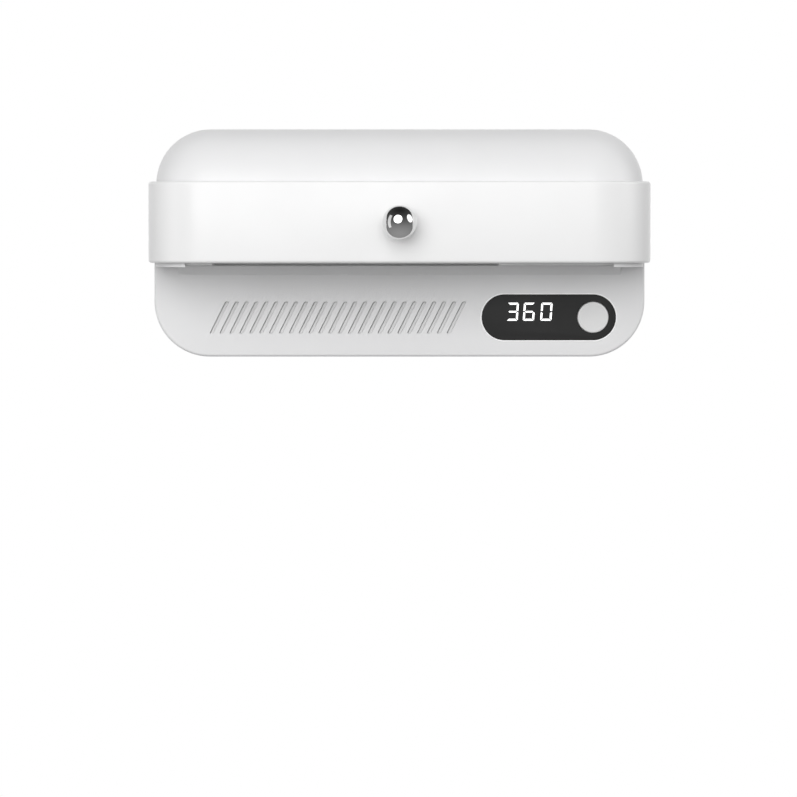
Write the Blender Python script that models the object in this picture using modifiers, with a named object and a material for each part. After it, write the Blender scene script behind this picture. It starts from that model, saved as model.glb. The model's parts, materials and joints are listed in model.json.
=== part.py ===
"""A wall-hung toothbrush sanitizer with a visor door, built piece by piece.

Run it with: blender --background --python part.py

Frame: +X right, +Y into the wall, +Z up. The origin is the centre of the face that
sticks to the wall. Every length below is in millimetres, and a depth is a distance
in front of the wall, so y = -depth. The helpers turn millimetres into metres.
"""

import math

import bmesh
import bpy
from mathutils import Matrix, Vector

MM = 0.001
GAP = 0.3                      # play between pieces that touch on the real object
THROUGH = 1.0                  # how far a cutter runs past the face that it opens

# Outer sizes
TOP = 57.4
BOTTOM = -57.5
HOUSING_HALF_WIDTH = 124.2
HOUSING_HALF_WIDTH_TOP = 122.7
HOUSING_CORNER = 28.0
HOUSING_TAPER = (-5.0, 25.0)   # heights between which the housing narrows, behind the door
HOUSING_BACK = 1.6
HOUSING_FRONT = 22.0
WALL = 2.0
CORNER_STEPS = 9

# Wall plate and the hooks that carry the unit
PAD_DEPTH = 1.0
PAD_HALF = (43.0, 26.0)
PLATE_DEPTH = (1.3, 3.3)
PLATE_HALF = (45.0, 28.0)
HOOK_X = 35.0
HOOK_Z = 12.0
HOOK_NECK_RADIUS = 2.2
HOOK_HEAD_RADIUS = 4.2
HOOK_HEAD_DEPTH = (7.0, 8.6)
KEYHOLE_PLAY = 0.5
LIFT = 9.0                     # the unit rises this far to come off its hooks

# Back cover
COVER_DEPTH = (4.3, 6.3)
BACK_SCREWS = ((-116.0, -22.0), (116.0, -22.0), (-104.0, 42.0), (104.0, 42.0))
BACK_SCREW_TIP = 15.0
BOSS_RADIUS = 4.0
BOSS_BORE_FRONT = 16.0

# Screws: one pan head for all but the rack's small ones
SCREW_HOLE_RADIUS = 1.6
SCREW_SHANK_RADIUS = 1.3
SCREW_HEAD = (2.8, 1.1)        # radius and height
SCREW_RECESS = (1.0, 0.6)      # radius and depth
RACK_SCREW_HEAD = (2.2, 1.2)
RACK_SCREW_SHANK_RADIUS = 0.9
RACK_SCREW_HOLE_RADIUS = 1.3

# Hinge of the visor door, an axis along X
HINGE_DEPTH = 29.0
HINGE_Z = 22.5
TRUNNION_RADIUS = 5.0
TRUNNION_INNER_X = 118.9
WASHER_RADIUS = 7.0
WASHER_THICKNESS = 1.2
HINGE_SCREW_HEAD = (6.3, 1.4)
HINGE_SCREW_TIP_X = 121.7

# Hood: above the hinge axis it is turned about that axis, below it runs straight down
HOOD_HALF_WIDTH = 122.7
HOOD_REACH = TOP - HINGE_Z
HOOD_CORNER = 27.5
HOOD_BACK = HOUSING_FRONT + GAP
HOOD_BOTTOM = -11.8
HOOD_ARC_STEPS = 12
MOUTH_HALF_WIDTH = 107.0
MOUTH_TOP = 18.0
MOUTH_CORNER = 6.0
MOUTH_CUT_DEPTH = (46.0, 70.0)
HOOD_SCREWS = ((-117.5, -4.0), (117.5, -4.0), (-70.0, 51.5), (70.0, 51.5))
HOOD_BOSS_RADIUS = 3.9
HOOD_BOSS_DEPTH = 32.0

# Door: a U-shaped band around the hood
DOOR_HALF_WIDTH = 126.4
DOOR_THICKNESS = 1.9
DOOR_REACH = 37.3
DOOR_CORNER = 29.9
DOOR_BACK = 23.0
DOOR_Z = (-9.85, 31.05)
CHEEK_CORNER = 8.0
DOOR_EDGE = 0.6
DOOR_FRONT = HINGE_DEPTH + DOOR_REACH

# Knob, turned about an axis along Y
KNOB_Z = (DOOR_Z[0] + DOOR_Z[1]) / 2
KNOB_RADIUS = 8.6
KNOB_NECK_RADIUS = 3.8
KNOB_NECK_LENGTH = 9.0         # from the ball's centre to the foot
KNOB_BORE_RADIUS = 1.7
KNOB_BORE_TOP = -2.0
KNOB_SCREW_TIP = 73.0
KNOB_WASHER_RADIUS = 4.6
KNOB_WASHER_THICKNESS = 0.6

# Shelf that closes the hood's bottom, and the comb that the brushes hang in
SHELF_Z = (-10.9, -8.4)
SHELF_OPENING_X = (-93.5, 49.6)
SHELF_OPENING_BACK = 24.5
RACK_Z = (-8.1, -5.3)
RACK_X = (-99.0, 55.0)
RACK_DEPTH = (27.0, 50.0)
NOTCH_X = (-70.5, -37.5, -4.5, 28.5)
NOTCH_RADIUS = 4.0
NOTCH_DEPTH = 38.0
RACK_SCREW_X = (-96.3, 52.3)
RACK_SCREW_DEPTH = 34.0

# Ledge on the housing that the shelf's back edge rests on, sloping back to the panel
LEDGE_X = (-112.0, 112.0)
LEDGE_DEPTH = 25.6
LEDGE_Z = (-12.0, -11.2)
LEDGE_FOOT_Z = -16.0

# Magnets that hold the door shut
MAGNET_X = 97.0
MAGNET_WIDTH = 4.8
MAGNET_Z = (-8.1, -3.3)
SHELF_MAGNET_DEPTH = (57.3, 61.2)
DOOR_MAGNET_DEPTH = (61.8, 63.7)
DOOR_SENSOR = ((83.0, 92.0), (57.0, 60.0), (-8.1, -5.3))

# Air inlet slots in the lower panel
VENT_COUNT = 25
VENT_FIRST_X = -91.3
VENT_PITCH = 5.005
VENT_Z = -37.7
VENT_HEIGHT = 16.0
VENT_WIDTH = 2.0
VENT_LEAN = 0.5                # sideways run for each unit of height

# Display and its button
DISPLAY_X = 75.7
DISPLAY_Z = -37.6
DISPLAY_HALF_LENGTH = 34.0
DISPLAY_RADIUS = 11.6
LENS_DEPTH = (18.9, 21.9)
LENS_FLANGE_WIDTH = 1.5
LENS_FLANGE_DEPTH = (18.2, 19.7)
BUTTON_X = DISPLAY_X + DISPLAY_HALF_LENGTH - DISPLAY_RADIUS
BUTTON_RADIUS = 7.8
BUTTON_HOLE_RADIUS = 8.15
BUTTON_DEPTH = (17.0, 22.9)
BUTTON_FLANGE_RADIUS = 9.2
BUTTON_FLANGE_DEPTH = (16.6, 17.8)
BUTTON_STEM_RADIUS = 2.0
BUTTON_STEM_DEPTH = (14.0, 17.2)

# Plain blocks inside: limits along X, in depth and along Z
DISPLAY_MODULE = ((46.0, 88.0), (14.5, 17.9), (-46.0, -29.0))
MAIN_BOARD = ((44.0, 106.0), (8.3, 9.9), (-50.0, -20.0))
BATTERY = ((52.0, 98.0), (8.0, 17.5), (-8.0, 40.0))
DUST_FILTER = ((-97.0, 35.0), (17.8, 19.6), (-48.0, -27.0))
SWITCH_HALF = 3.0
SWITCH_DEPTH = (10.2, 12.4)
PLUNGER_RADIUS = 1.7
PLUNGER_DEPTH = (12.0, 12.9)
WIRE_RADIUS = 0.8

# Blower, heater and duct behind the lower left of the panel
BLOWER_X = -60.0
BLOWER_Z = -33.0
BLOWER_CAVITY_RADIUS = 17.5
BLOWER_INLET_RADIUS = 11.0
BLOWER_DEPTH = (7.5, 17.2)
BLOWER_CASE_X = (-84.0, -36.0)
BLOWER_CASE_Z = (-54.0, -10.0)
BLOWER_FLOOR = 1.0
BLOWER_LID = 1.6
MOTOR_RADIUS = 6.2
MOTOR_DEPTH = (8.8, 13.2)
MOTOR_BORE_RADIUS = 1.1
ROTOR_RADIUS = 15.2
ROTOR_DISC_DEPTH = (9.3, 10.1)
HUB_RADIUS = 7.5
HUB_DEPTH = (9.2, 14.5)
HUB_WALL = 0.8
SHAFT_RADIUS = 0.8
BLADE_COUNT = 11
BLADE_DEPTH = (9.65, 14.95)
BLADE_THICKNESS = 0.8
OUTLET_X = (-77.5, -62.0)
DUCT_X = (-84.0, -41.0)
DUCT_Z = (-9.5, 16.0)
DUCT_WALL = 1.5
DUCT_HOLLOW_DEPTH = (9.2, 21.0)
DUCT_HOLLOW_LOW = -1.0
DUCT_INLET_DEPTH = (9.2, 15.6)
HEATER = ((-80.0, -45.0), (10.5, 17.0), (1.5, 9.5))
HEATER_GAP_COUNT = 11
HEATER_GAP_PITCH = 3.0
HEATER_GAP = (1.2, 2.8)        # width and depth of the gaps between its fins
LOUVRE_X = (-80.0, -45.0)
LOUVRE_Z = (3.0, 6.0, 9.0, 12.0)
LOUVRE_HEIGHT = 1.6

# Ultraviolet lamps above the chamber's back wall
LAMP_X = (-37.5, -12.5, 12.5, 37.5)
LAMP_Z = 36.0
LAMP_HALF = 1.8
LAMP_DEPTH = (17.5, 19.0)
LAMP_WINDOW_HALF = (50.0, 6.0)
LAMP_WINDOW_DEPTH = (20.3, 21.9)
LAMP_BOARD_HALF = (52.0, 9.0)
LAMP_BOARD_DEPTH = (15.6, 17.2)

# Reflector on the chamber's back wall
REFLECTOR_HALF_WIDTH = 100.0
REFLECTOR_Z = (-4.0, 46.0)
REFLECTOR_THICKNESS = 0.8

# Charging socket in the bottom edge
SOCKET_X = 70.0
SOCKET_DEPTH = 11.8
SOCKET_HALF = (4.5, 1.6)
SOCKET_Z = (-57.3, -46.3)
SOCKET_SHEET = 0.3
SOCKET_HOLLOW_TOP = -50.3
TONGUE_HALF = (3.3, 0.35)
TONGUE_Z = (-56.5, -48.3)

COLOURS = {                    # base colour, roughness, metallic
    "white_plastic": ((0.88, 0.88, 0.88), 0.32, 0.0),
    "door_plastic": ((0.92, 0.92, 0.92), 0.22, 0.0),
    "button_plastic": ((0.80, 0.80, 0.80), 0.35, 0.0),
    "black_plastic": ((0.03, 0.03, 0.03), 0.50, 0.0),
    "display_glass": ((0.02, 0.02, 0.02), 0.12, 0.0),
    "quartz_glass": ((0.80, 0.86, 0.92), 0.08, 0.0),
    "chrome": ((0.78, 0.78, 0.78), 0.05, 1.0),
    "steel": ((0.60, 0.60, 0.62), 0.30, 1.0),
    "nickel": ((0.70, 0.69, 0.66), 0.22, 1.0),
    "reflector": ((0.82, 0.83, 0.84), 0.18, 1.0),
    "nylon": ((0.75, 0.73, 0.68), 0.50, 0.0),
    "foam": ((0.16, 0.16, 0.17), 0.95, 0.0),
    "filter_mesh": ((0.70, 0.71, 0.72), 0.90, 0.0),
    "circuit_board": ((0.03, 0.22, 0.10), 0.45, 0.0),
    "ceramic": ((0.82, 0.80, 0.76), 0.60, 0.0),
    "battery_wrap": ((0.10, 0.22, 0.48), 0.40, 0.0),
    "lamp": ((0.90, 0.84, 0.60), 0.35, 0.0),
    "lead_wire": ((0.55, 0.05, 0.04), 0.50, 0.0),
}


# ---------------------------------------------------------------- helpers

def empty_scene():
    for obj in list(bpy.data.objects):
        bpy.data.objects.remove(obj, do_unlink=True)


def collection(name):
    made = bpy.data.collections.new(name)
    bpy.context.scene.collection.children.link(made)
    return made


def make_materials():
    made = {}
    for name, (colour, roughness, metallic) in COLOURS.items():
        material = bpy.data.materials.new(name)
        material.use_nodes = True
        shader = material.node_tree.nodes["Principled BSDF"]
        shader.inputs["Base Color"].default_value = (*colour, 1.0)
        shader.inputs["Roughness"].default_value = roughness
        shader.inputs["Metallic"].default_value = metallic
        made[name] = material
    return made


def place(x, depth, z):
    return Vector((x, -depth, z)) * MM


def add_mesh(name, bm, matrix, material):
    """Turns a bmesh in metres into an object; with no material it becomes a cutter."""
    mesh = bpy.data.meshes.new(name)
    bm.to_mesh(mesh)
    bm.free()
    obj = bpy.data.objects.new(name, mesh)
    obj.matrix_world = matrix
    if material:
        PARTS.objects.link(obj)
        mesh.materials.append(MATERIALS[material])
        mesh.shade_smooth()
        mesh.set_sharp_from_angle(angle=math.radians(35))
    else:
        CUTTERS.objects.link(obj)
        obj.hide_render = True
        obj.display_type = "WIRE"
    return obj


def box(name, x, depth, z, material=None):
    """A box from its (low, high) limits along X, in depth and along Z."""
    size = Vector((x[1] - x[0], depth[1] - depth[0], z[1] - z[0])) * MM
    bm = bmesh.new()
    bmesh.ops.create_cube(bm, size=1.0, matrix=Matrix.Diagonal((*size, 1.0)))
    centre = place(sum(x) / 2, sum(depth) / 2, sum(z) / 2)
    return add_mesh(name, bm, Matrix.Translation(centre), material)


# Turns that lay an object's own Z axis along the named direction
TURN = {
    "height": Matrix.Identity(4),
    "depth": Matrix.Rotation(math.radians(90), 4, "X"),
    "width": Matrix(((0, 0, 1, 0), (1, 0, 0, 0), (0, 1, 0, 0), (0, 0, 0, 1))),
}


def rod(name, along, centre, radius, length, material=None, segments=24):
    """A cylinder whose axis runs along "width", "depth" or "height"."""
    bm = bmesh.new()
    bmesh.ops.create_cone(
        bm, cap_ends=True, segments=segments, radius1=radius * MM, radius2=radius * MM,
        depth=length * MM)
    return add_mesh(name, bm, Matrix.Translation(place(*centre)) @ TURN[along], material)


def rod_between(name, x, z, depth, radius, material=None, segments=24):
    """A cylinder along the depth direction, from depth[0] to depth[1]."""
    centre = (x, sum(depth) / 2, z)
    return rod(name, "depth", centre, radius, depth[1] - depth[0], material, segments)


def prism(name, outline, limits, along="depth", material=None):
    """A flat outline extruded between two limits.

    along "depth": outline points are (x, z); "height": (x, depth); "width": (depth, z).
    """
    middle = sum(limits) / 2
    if along == "depth":
        points = outline
        centre = place(0, middle, 0)
    elif along == "height":
        points = [(x, -depth) for x, depth in outline]
        centre = place(0, 0, middle)
    else:
        points = [(-depth, z) for depth, z in outline]
        centre = place(middle, 0, 0)
    curve = bpy.data.curves.new(name, "CURVE")
    curve.dimensions = "2D"
    curve.fill_mode = "BOTH"
    curve.extrude = (limits[1] - limits[0]) / 2 * MM
    spline = curve.splines.new("POLY")
    spline.points.add(len(points) - 1)
    for point, (a, b) in zip(spline.points, points):
        point.co = (a * MM, b * MM, 0.0, 1.0)
    spline.use_cyclic_u = True
    flat = bpy.data.objects.new(name + "_outline", curve)
    flat.matrix_world = Matrix.Translation(centre) @ TURN[along]
    PARTS.objects.link(flat)
    return mesh_from_curve(name, flat, material)


def mesh_from_curve(name, flat, material):
    """Makes the evaluated curve a closed mesh object and removes the curve."""
    bpy.context.view_layer.update()
    evaluated = flat.evaluated_get(bpy.context.evaluated_depsgraph_get())
    mesh = bpy.data.meshes.new_from_object(evaluated)
    bm = bmesh.new()
    bm.from_mesh(mesh)
    bmesh.ops.remove_doubles(bm, verts=bm.verts, dist=0.001 * MM)
    bmesh.ops.recalc_face_normals(bm, faces=bm.faces)
    matrix = flat.matrix_world.copy()
    curve = flat.data
    bpy.data.objects.remove(flat)
    bpy.data.curves.remove(curve)
    bpy.data.meshes.remove(mesh)
    return add_mesh(name, bm, matrix, material)


def turned(name, profile, matrix, material, steps=32):
    """Turns (radius, height) points about the object's own Z axis.

    The profile starts on the axis at the top and runs down the outer side.
    """
    bm = bmesh.new()
    verts = [bm.verts.new((radius * MM, 0.0, height * MM)) for radius, height in profile]
    for first, second in zip(verts, verts[1:]):
        bm.edges.new((first, second))
    obj = add_mesh(name, bm, matrix, material)
    screw = obj.modifiers.new("turn", "SCREW")
    screw.steps = steps
    screw.render_steps = steps
    screw.use_merge_vertices = True
    screw.merge_threshold = 0.00001
    return obj


def tube(name, points, radius, material):
    """A round wire through (x, depth, z) points."""
    curve = bpy.data.curves.new(name, "CURVE")
    curve.dimensions = "3D"
    curve.bevel_depth = radius * MM
    curve.bevel_resolution = 2
    curve.use_fill_caps = True
    spline = curve.splines.new("POLY")
    spline.points.add(len(points) - 1)
    for point, (x, depth, z) in zip(spline.points, points):
        point.co = (*place(x, depth, z), 1.0)
    wire = bpy.data.objects.new(name + "_path", curve)
    PARTS.objects.link(wire)
    return mesh_from_curve(name, wire, material)


def boolean(target, operation, *tools):
    """Cuts the target with the tools or joins them to it; tools become guides."""
    for tool in tools:
        modifier = target.modifiers.new(operation.lower() + " " + tool.name, "BOOLEAN")
        modifier.operation = operation
        modifier.solver = "EXACT"
        modifier.object = tool


def cut(target, *tools):
    boolean(target, "DIFFERENCE", *tools)


def join(target, *tools):
    boolean(target, "UNION", *tools)


def bevel(target, width, segments=2, angle=40):
    modifier = target.modifiers.new("edges", "BEVEL")
    modifier.width = width * MM
    modifier.segments = segments
    modifier.limit_method = "ANGLE"
    modifier.angle_limit = math.radians(angle)


def axis_empty(name, location):
    empty = bpy.data.objects.new(name, None)
    empty.location = location
    empty.empty_display_size = 10 * MM
    PARTS.objects.link(empty)
    return empty


def attach(parent, *children):
    """Parents the children and leaves them where they are."""
    bpy.context.view_layer.update()
    for child in children:
        child.parent = parent
        child.matrix_parent_inverse = parent.matrix_world.inverted()


def arc(centre, radius, start, end, steps=CORNER_STEPS):
    """Points on an arc, angles in degrees, both ends included."""
    points = []
    for step in range(steps + 1):
        angle = math.radians(start + (end - start) * step / steps)
        points.append((centre[0] + radius * math.cos(angle), centre[1] + radius * math.sin(angle)))
    return points


def stadium(x, z, half_length, radius, steps=12):
    """A slot outline with round ends, lying along X."""
    run = half_length - radius
    right = arc((x + run, z), radius, -90, 90, steps)
    left = arc((x - run, z), radius, 90, 270, steps)
    return right + left


# ---------------------------------------------------------------- outlines

def housing_outline(inset):
    """Elevation of the rear housing, shrunk by inset on every side."""
    corner = HOUSING_CORNER - inset
    half_low = HOUSING_HALF_WIDTH - inset
    half_top = HOUSING_HALF_WIDTH_TOP - inset
    low_x = half_low - corner
    top_x = half_top - corner
    low_z = BOTTOM + inset + corner
    top_z = TOP - inset - corner
    points = arc((low_x, low_z), corner, -90, 0)
    points += [(half_low, HOUSING_TAPER[0]), (half_top, HOUSING_TAPER[1])]
    points += arc((top_x, top_z), corner, 0, 90)
    points += arc((-top_x, top_z), corner, 90, 180)
    points += [(-half_top, HOUSING_TAPER[1]), (-half_low, HOUSING_TAPER[0])]
    points += arc((-low_x, low_z), corner, 180, 270)
    return points


def plan_curve(half_width, reach, corner):
    """(x, depth) points of the hood's or door's front in plan, from right to left."""
    run = half_width - corner
    middle = HINGE_DEPTH + reach - corner
    return arc((run, middle), corner, 0, 90) + arc((-run, middle), corner, 90, 180)


def plan_outline(half_width, reach, corner, back):
    curve = plan_curve(half_width, reach, corner)
    return [(half_width, back)] + curve + [(-half_width, back)]


def hood_section():
    """(x, distance from the hinge axis) across the hood, from left cheek to right."""
    curve = plan_curve(HOOD_HALF_WIDTH, HOOD_REACH, HOOD_CORNER)
    return [(x, depth - HINGE_DEPTH) for x, depth in reversed(curve)]


def hood_path(radius):
    """(depth, z) side view of the hood at one distance from the axis, back to front."""
    over = arc((HINGE_DEPTH, HINGE_Z), radius, 90, 0, HOOD_ARC_STEPS)
    return [(HOOD_BACK, HINGE_Z + radius)] + over + [(HINGE_DEPTH + radius, HOOD_BOTTOM)]


# ---------------------------------------------------------------- wall side

def make_wall_side():
    half_x, half_z = PAD_HALF
    pad = box("adhesive_pad", (-half_x, half_x), (0, PAD_DEPTH), (-half_z, half_z), "foam")
    half_x, half_z = PLATE_HALF
    plate = box("wall_bracket", (-half_x, half_x), PLATE_DEPTH, (-half_z, half_z), "white_plastic")
    bevel(plate, 0.6)
    neck_depth = (PLATE_DEPTH[1] - THROUGH, sum(HOOK_HEAD_DEPTH) / 2)
    for side in (-1, 1):
        x = side * HOOK_X
        neck = rod_between("hook_neck", x, HOOK_Z, neck_depth, HOOK_NECK_RADIUS)
        head = rod_between("hook_head", x, HOOK_Z, HOOK_HEAD_DEPTH, HOOK_HEAD_RADIUS)
        join(plate, neck, head)
    return pad, plate


def keyhole_cutters(x):
    """A round hole that a hook's head passes, and the narrow slot above it."""
    low = HOOK_Z - LIFT
    through = (COVER_DEPTH[0] - THROUGH, COVER_DEPTH[1] + THROUGH)
    width = HOOK_NECK_RADIUS + KEYHOLE_PLAY
    entry = rod_between("keyhole_entry", x, low, through, HOOK_HEAD_RADIUS + KEYHOLE_PLAY)
    slot = box("keyhole_slot", (x - width, x + width), through, (low, HOOK_Z))
    end = rod_between("keyhole_end", x, HOOK_Z, through, width)
    return entry, slot, end


# ---------------------------------------------------------------- rear housing

def slanted_slots():
    """The row of leaning air slots, as one cutter."""
    bm = bmesh.new()
    lean = Matrix.Identity(4)
    lean[0][2] = VENT_LEAN
    size = Matrix.Diagonal((VENT_WIDTH * MM, 4 * WALL * MM, VENT_HEIGHT * MM, 1.0))
    for index in range(VENT_COUNT):
        centre = place(VENT_FIRST_X + index * VENT_PITCH, HOUSING_FRONT - WALL / 2, VENT_Z)
        bmesh.ops.create_cube(bm, size=1.0, matrix=Matrix.Translation(centre) @ lean @ size)
    return add_mesh("air_slots", bm, Matrix.Identity(4), None)


def louvre_cutters(depth):
    """Level slots that let the warm air into the chamber, as one cutter."""
    bm = bmesh.new()
    width = (LOUVRE_X[1] - LOUVRE_X[0]) * MM
    size = Matrix.Diagonal((width, (depth[1] - depth[0]) * MM, LOUVRE_HEIGHT * MM, 1.0))
    for z in LOUVRE_Z:
        centre = place(sum(LOUVRE_X) / 2, sum(depth) / 2, z)
        bmesh.ops.create_cube(bm, size=1.0, matrix=Matrix.Translation(centre) @ size)
    return add_mesh("louvre", bm, Matrix.Identity(4), None)


def make_rear_housing():
    shell = prism("rear_housing", housing_outline(0), (HOUSING_BACK, HOUSING_FRONT),
                  material="white_plastic")
    inside = HOUSING_FRONT - WALL
    through = (inside - THROUGH, HOUSING_FRONT + THROUGH)
    cut(shell, prism("housing_hollow", housing_outline(WALL), (HOUSING_BACK - THROUGH, inside)))
    for x, z in BACK_SCREWS:
        boss_depth = (COVER_DEPTH[1] + GAP, inside + WALL / 2)
        join(shell, rod_between("cover_boss", x, z, boss_depth, BOSS_RADIUS))
        bore_depth = (COVER_DEPTH[1] - THROUGH, BOSS_BORE_FRONT)
        cut(shell, rod_between("cover_boss_bore", x, z, bore_depth, SCREW_HOLE_RADIUS))
    for x, z in HOOD_SCREWS:
        cut(shell, rod_between("hood_screw_hole", x, z, through, SCREW_HOLE_RADIUS))
    opening = stadium(DISPLAY_X, DISPLAY_Z, DISPLAY_HALF_LENGTH + GAP, DISPLAY_RADIUS + GAP)
    cut(shell, prism("display_opening", opening, through))
    half_x, half_z = LAMP_WINDOW_HALF
    cut(shell, box("lamp_opening", (-half_x, half_x), through, (LAMP_Z - half_z, LAMP_Z + half_z)))
    cut(shell, louvre_cutters(through), slanted_slots())
    socket = stadium(SOCKET_X, SOCKET_DEPTH, SOCKET_HALF[0] + GAP, SOCKET_HALF[1] + GAP)
    cut(shell, prism("socket_opening", socket, (BOTTOM - THROUGH, BOTTOM + WALL + THROUGH), "height"))
    join(shell, prism("shelf_ledge", ledge_outline(), LEDGE_X, "width"))
    return shell


def ledge_outline():
    """(depth, z) side view of the ledge: a thin lip over a slope down to the panel."""
    inside = HOUSING_FRONT - WALL / 2
    lip = [(inside, LEDGE_Z[1]), (LEDGE_DEPTH, LEDGE_Z[1]), (LEDGE_DEPTH, LEDGE_Z[0])]
    return lip + [(HOUSING_FRONT, LEDGE_FOOT_Z), (inside, LEDGE_FOOT_Z)]


def make_back_cover():
    cover = prism("back_cover", housing_outline(WALL + GAP), COVER_DEPTH, material="white_plastic")
    through = (COVER_DEPTH[0] - THROUGH, COVER_DEPTH[1] + THROUGH)
    for side in (-1, 1):
        cut(cover, *keyhole_cutters(side * HOOK_X))
    for x, z in BACK_SCREWS:
        cut(cover, rod_between("cover_screw_hole", x, z, through, SCREW_HOLE_RADIUS))
    return cover


def pan_screw(name, x, z, head_front, tip):
    """A screw driven from behind: its head ends at head_front, its point at tip."""
    radius, height = SCREW_HEAD
    head = (head_front - height, head_front)
    screw = rod_between(name, x, z, head, radius, "steel", 16)
    shank_depth = (sum(head) / 2, tip)
    join(screw, rod_between(name + "_shank", x, z, shank_depth, SCREW_SHANK_RADIUS, None, 12))
    recess_radius, recess = SCREW_RECESS
    recess_depth = (head[0] - THROUGH, head[0] + recess)
    cut(screw, rod_between(name + "_recess", x, z, recess_depth, recess_radius, None, 6))
    return screw


def make_back_screws():
    return [
        pan_screw(f"back_screw_{number}", x, z, COVER_DEPTH[0] - GAP, BACK_SCREW_TIP)
        for number, (x, z) in enumerate(BACK_SCREWS, 1)
    ]


# ---------------------------------------------------------------- hood and shelf

def make_hood():
    """An open surface, thickened inwards, with a mouth behind the door."""
    bm = bmesh.new()
    rows = []
    for x, radius in hood_section():
        rows.append([bm.verts.new(place(x, depth, z)) for depth, z in hood_path(radius)])
    for left, right in zip(rows, rows[1:]):
        for step in range(len(left) - 1):
            bm.faces.new((left[step], left[step + 1], right[step + 1], right[step]))
    for row, side in ((rows[0], -1), (rows[-1], 1)):
        corner = bm.verts.new(place(side * HOOD_HALF_WIDTH, HOOD_BACK, HOOD_BOTTOM))
        cheek = [*row, corner]
        bm.faces.new(cheek if side > 0 else list(reversed(cheek)))
    bmesh.ops.recalc_face_normals(bm, faces=bm.faces)
    hood = add_mesh("hood", bm, Matrix.Identity(4), "white_plastic")
    shell = hood.modifiers.new("wall", "SOLIDIFY")
    shell.thickness = WALL * MM
    shell.offset = -1.0
    shell.use_even_offset = True
    cut(hood, prism("hood_mouth", mouth_outline(), MOUTH_CUT_DEPTH))
    for side in (-1, 1):
        centre = (side * HOOD_HALF_WIDTH, HINGE_DEPTH, HINGE_Z)
        cut(hood, rod("hinge_bore", "width", centre, TRUNNION_RADIUS + GAP, 4 * WALL))
    for x, z in HOOD_SCREWS:
        join(hood, rod_between("hood_boss", x, z, (HOOD_BACK, HOOD_BOSS_DEPTH), HOOD_BOSS_RADIUS))
        bore = (HOOD_BACK - THROUGH, HOOD_BOSS_DEPTH - WALL)
        cut(hood, rod_between("hood_boss_bore", x, z, bore, SCREW_HOLE_RADIUS))
    return hood


def mouth_outline():
    """(x, z) outline of the opening that the brushes go in by; it is open downwards."""
    run = MOUTH_HALF_WIDTH - MOUTH_CORNER
    top = MOUTH_TOP - MOUTH_CORNER
    low = HOOD_BOTTOM - THROUGH
    points = [(MOUTH_HALF_WIDTH, low)] + arc((run, top), MOUTH_CORNER, 0, 90, 5)
    points += arc((-run, top), MOUTH_CORNER, 90, 180, 5) + [(-MOUTH_HALF_WIDTH, low)]
    return points


def make_hood_screws():
    head_front = HOUSING_FRONT - WALL - GAP
    tip = HOOD_BOSS_DEPTH - WALL - THROUGH
    return [
        pan_screw(f"hood_screw_{number}", x, z, head_front, tip)
        for number, (x, z) in enumerate(HOOD_SCREWS, 1)
    ]


def make_shelf():
    """The chamber's floor, with a long opening for the brushes that is open in front."""
    inset = WALL + GAP
    outline = plan_outline(
        HOOD_HALF_WIDTH - inset, HOOD_REACH - inset, HOOD_CORNER - inset, HOOD_BACK)
    shelf = prism("shelf_plate", outline, SHELF_Z, "height", "white_plastic")
    through = (SHELF_Z[0] - THROUGH, SHELF_Z[1] + THROUGH)
    opening_depth = (SHELF_OPENING_BACK, HINGE_DEPTH + HOOD_REACH)
    cut(shelf, box("brush_opening", SHELF_OPENING_X, opening_depth, through))
    for x in RACK_SCREW_X:
        centre = (x, RACK_SCREW_DEPTH, SHELF_Z[1])
        length = 2 * (SHELF_Z[1] - SHELF_Z[0] - SCREW_RECESS[1])
        cut(shelf, rod("rack_screw_bore", "height", centre, RACK_SCREW_HOLE_RADIUS, length, None, 16))
    return shelf


def rack_outline():
    """(x, depth) outline of the comb, with a round-ended notch for each brush."""
    back, front = RACK_DEPTH
    points = [(RACK_X[0], back), (RACK_X[0], front)]
    for x in NOTCH_X:
        points.append((x - NOTCH_RADIUS, front))
        points += arc((x, NOTCH_DEPTH), NOTCH_RADIUS, 180, 360, 10)
        points.append((x + NOTCH_RADIUS, front))
    return points + [(RACK_X[1], front), (RACK_X[1], back)]


def make_rack():
    rack = prism("brush_rack", rack_outline(), RACK_Z, "height", "white_plastic")
    thickness = RACK_Z[1] - RACK_Z[0]
    for x in RACK_SCREW_X:
        centre = (x, RACK_SCREW_DEPTH, sum(RACK_Z) / 2)
        cut(rack, rod("rack_hole", "height", centre, RACK_SCREW_HOLE_RADIUS, 2 * thickness, None, 16))
    return rack


def make_rack_screws():
    screws = []
    radius, height = RACK_SCREW_HEAD
    head_z = RACK_Z[1] + GAP + height / 2
    low = (SHELF_Z[0] + SHELF_Z[1]) / 2
    for name, x in zip(("rack_screw_left", "rack_screw_right"), RACK_SCREW_X):
        screw = rod(name, "height", (x, RACK_SCREW_DEPTH, head_z), radius, height, "steel", 16)
        middle = (x, RACK_SCREW_DEPTH, (low + head_z) / 2)
        length = head_z - low
        shank = rod(name + "_shank", "height", middle, RACK_SCREW_SHANK_RADIUS, length, None, 12)
        join(screw, shank)
        screws.append(screw)
    return screws


def make_catches():
    """Magnets on the shelf, the reed switch beside one, and their partners on the door."""
    half = MAGNET_WIDTH / 2
    on_shelf, on_door = [], []
    for name, x in (("left", -MAGNET_X), ("right", MAGNET_X)):
        span = (x - half, x + half)
        on_shelf.append(box(f"shelf_magnet_{name}", span, SHELF_MAGNET_DEPTH, MAGNET_Z, "nickel"))
        on_door.append(box(f"door_magnet_{name}", span, DOOR_MAGNET_DEPTH, MAGNET_Z, "nickel"))
    switch = box("door_sensor", *DOOR_SENSOR, "black_plastic")
    return [*on_shelf, switch], on_door


# ---------------------------------------------------------------- door

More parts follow.
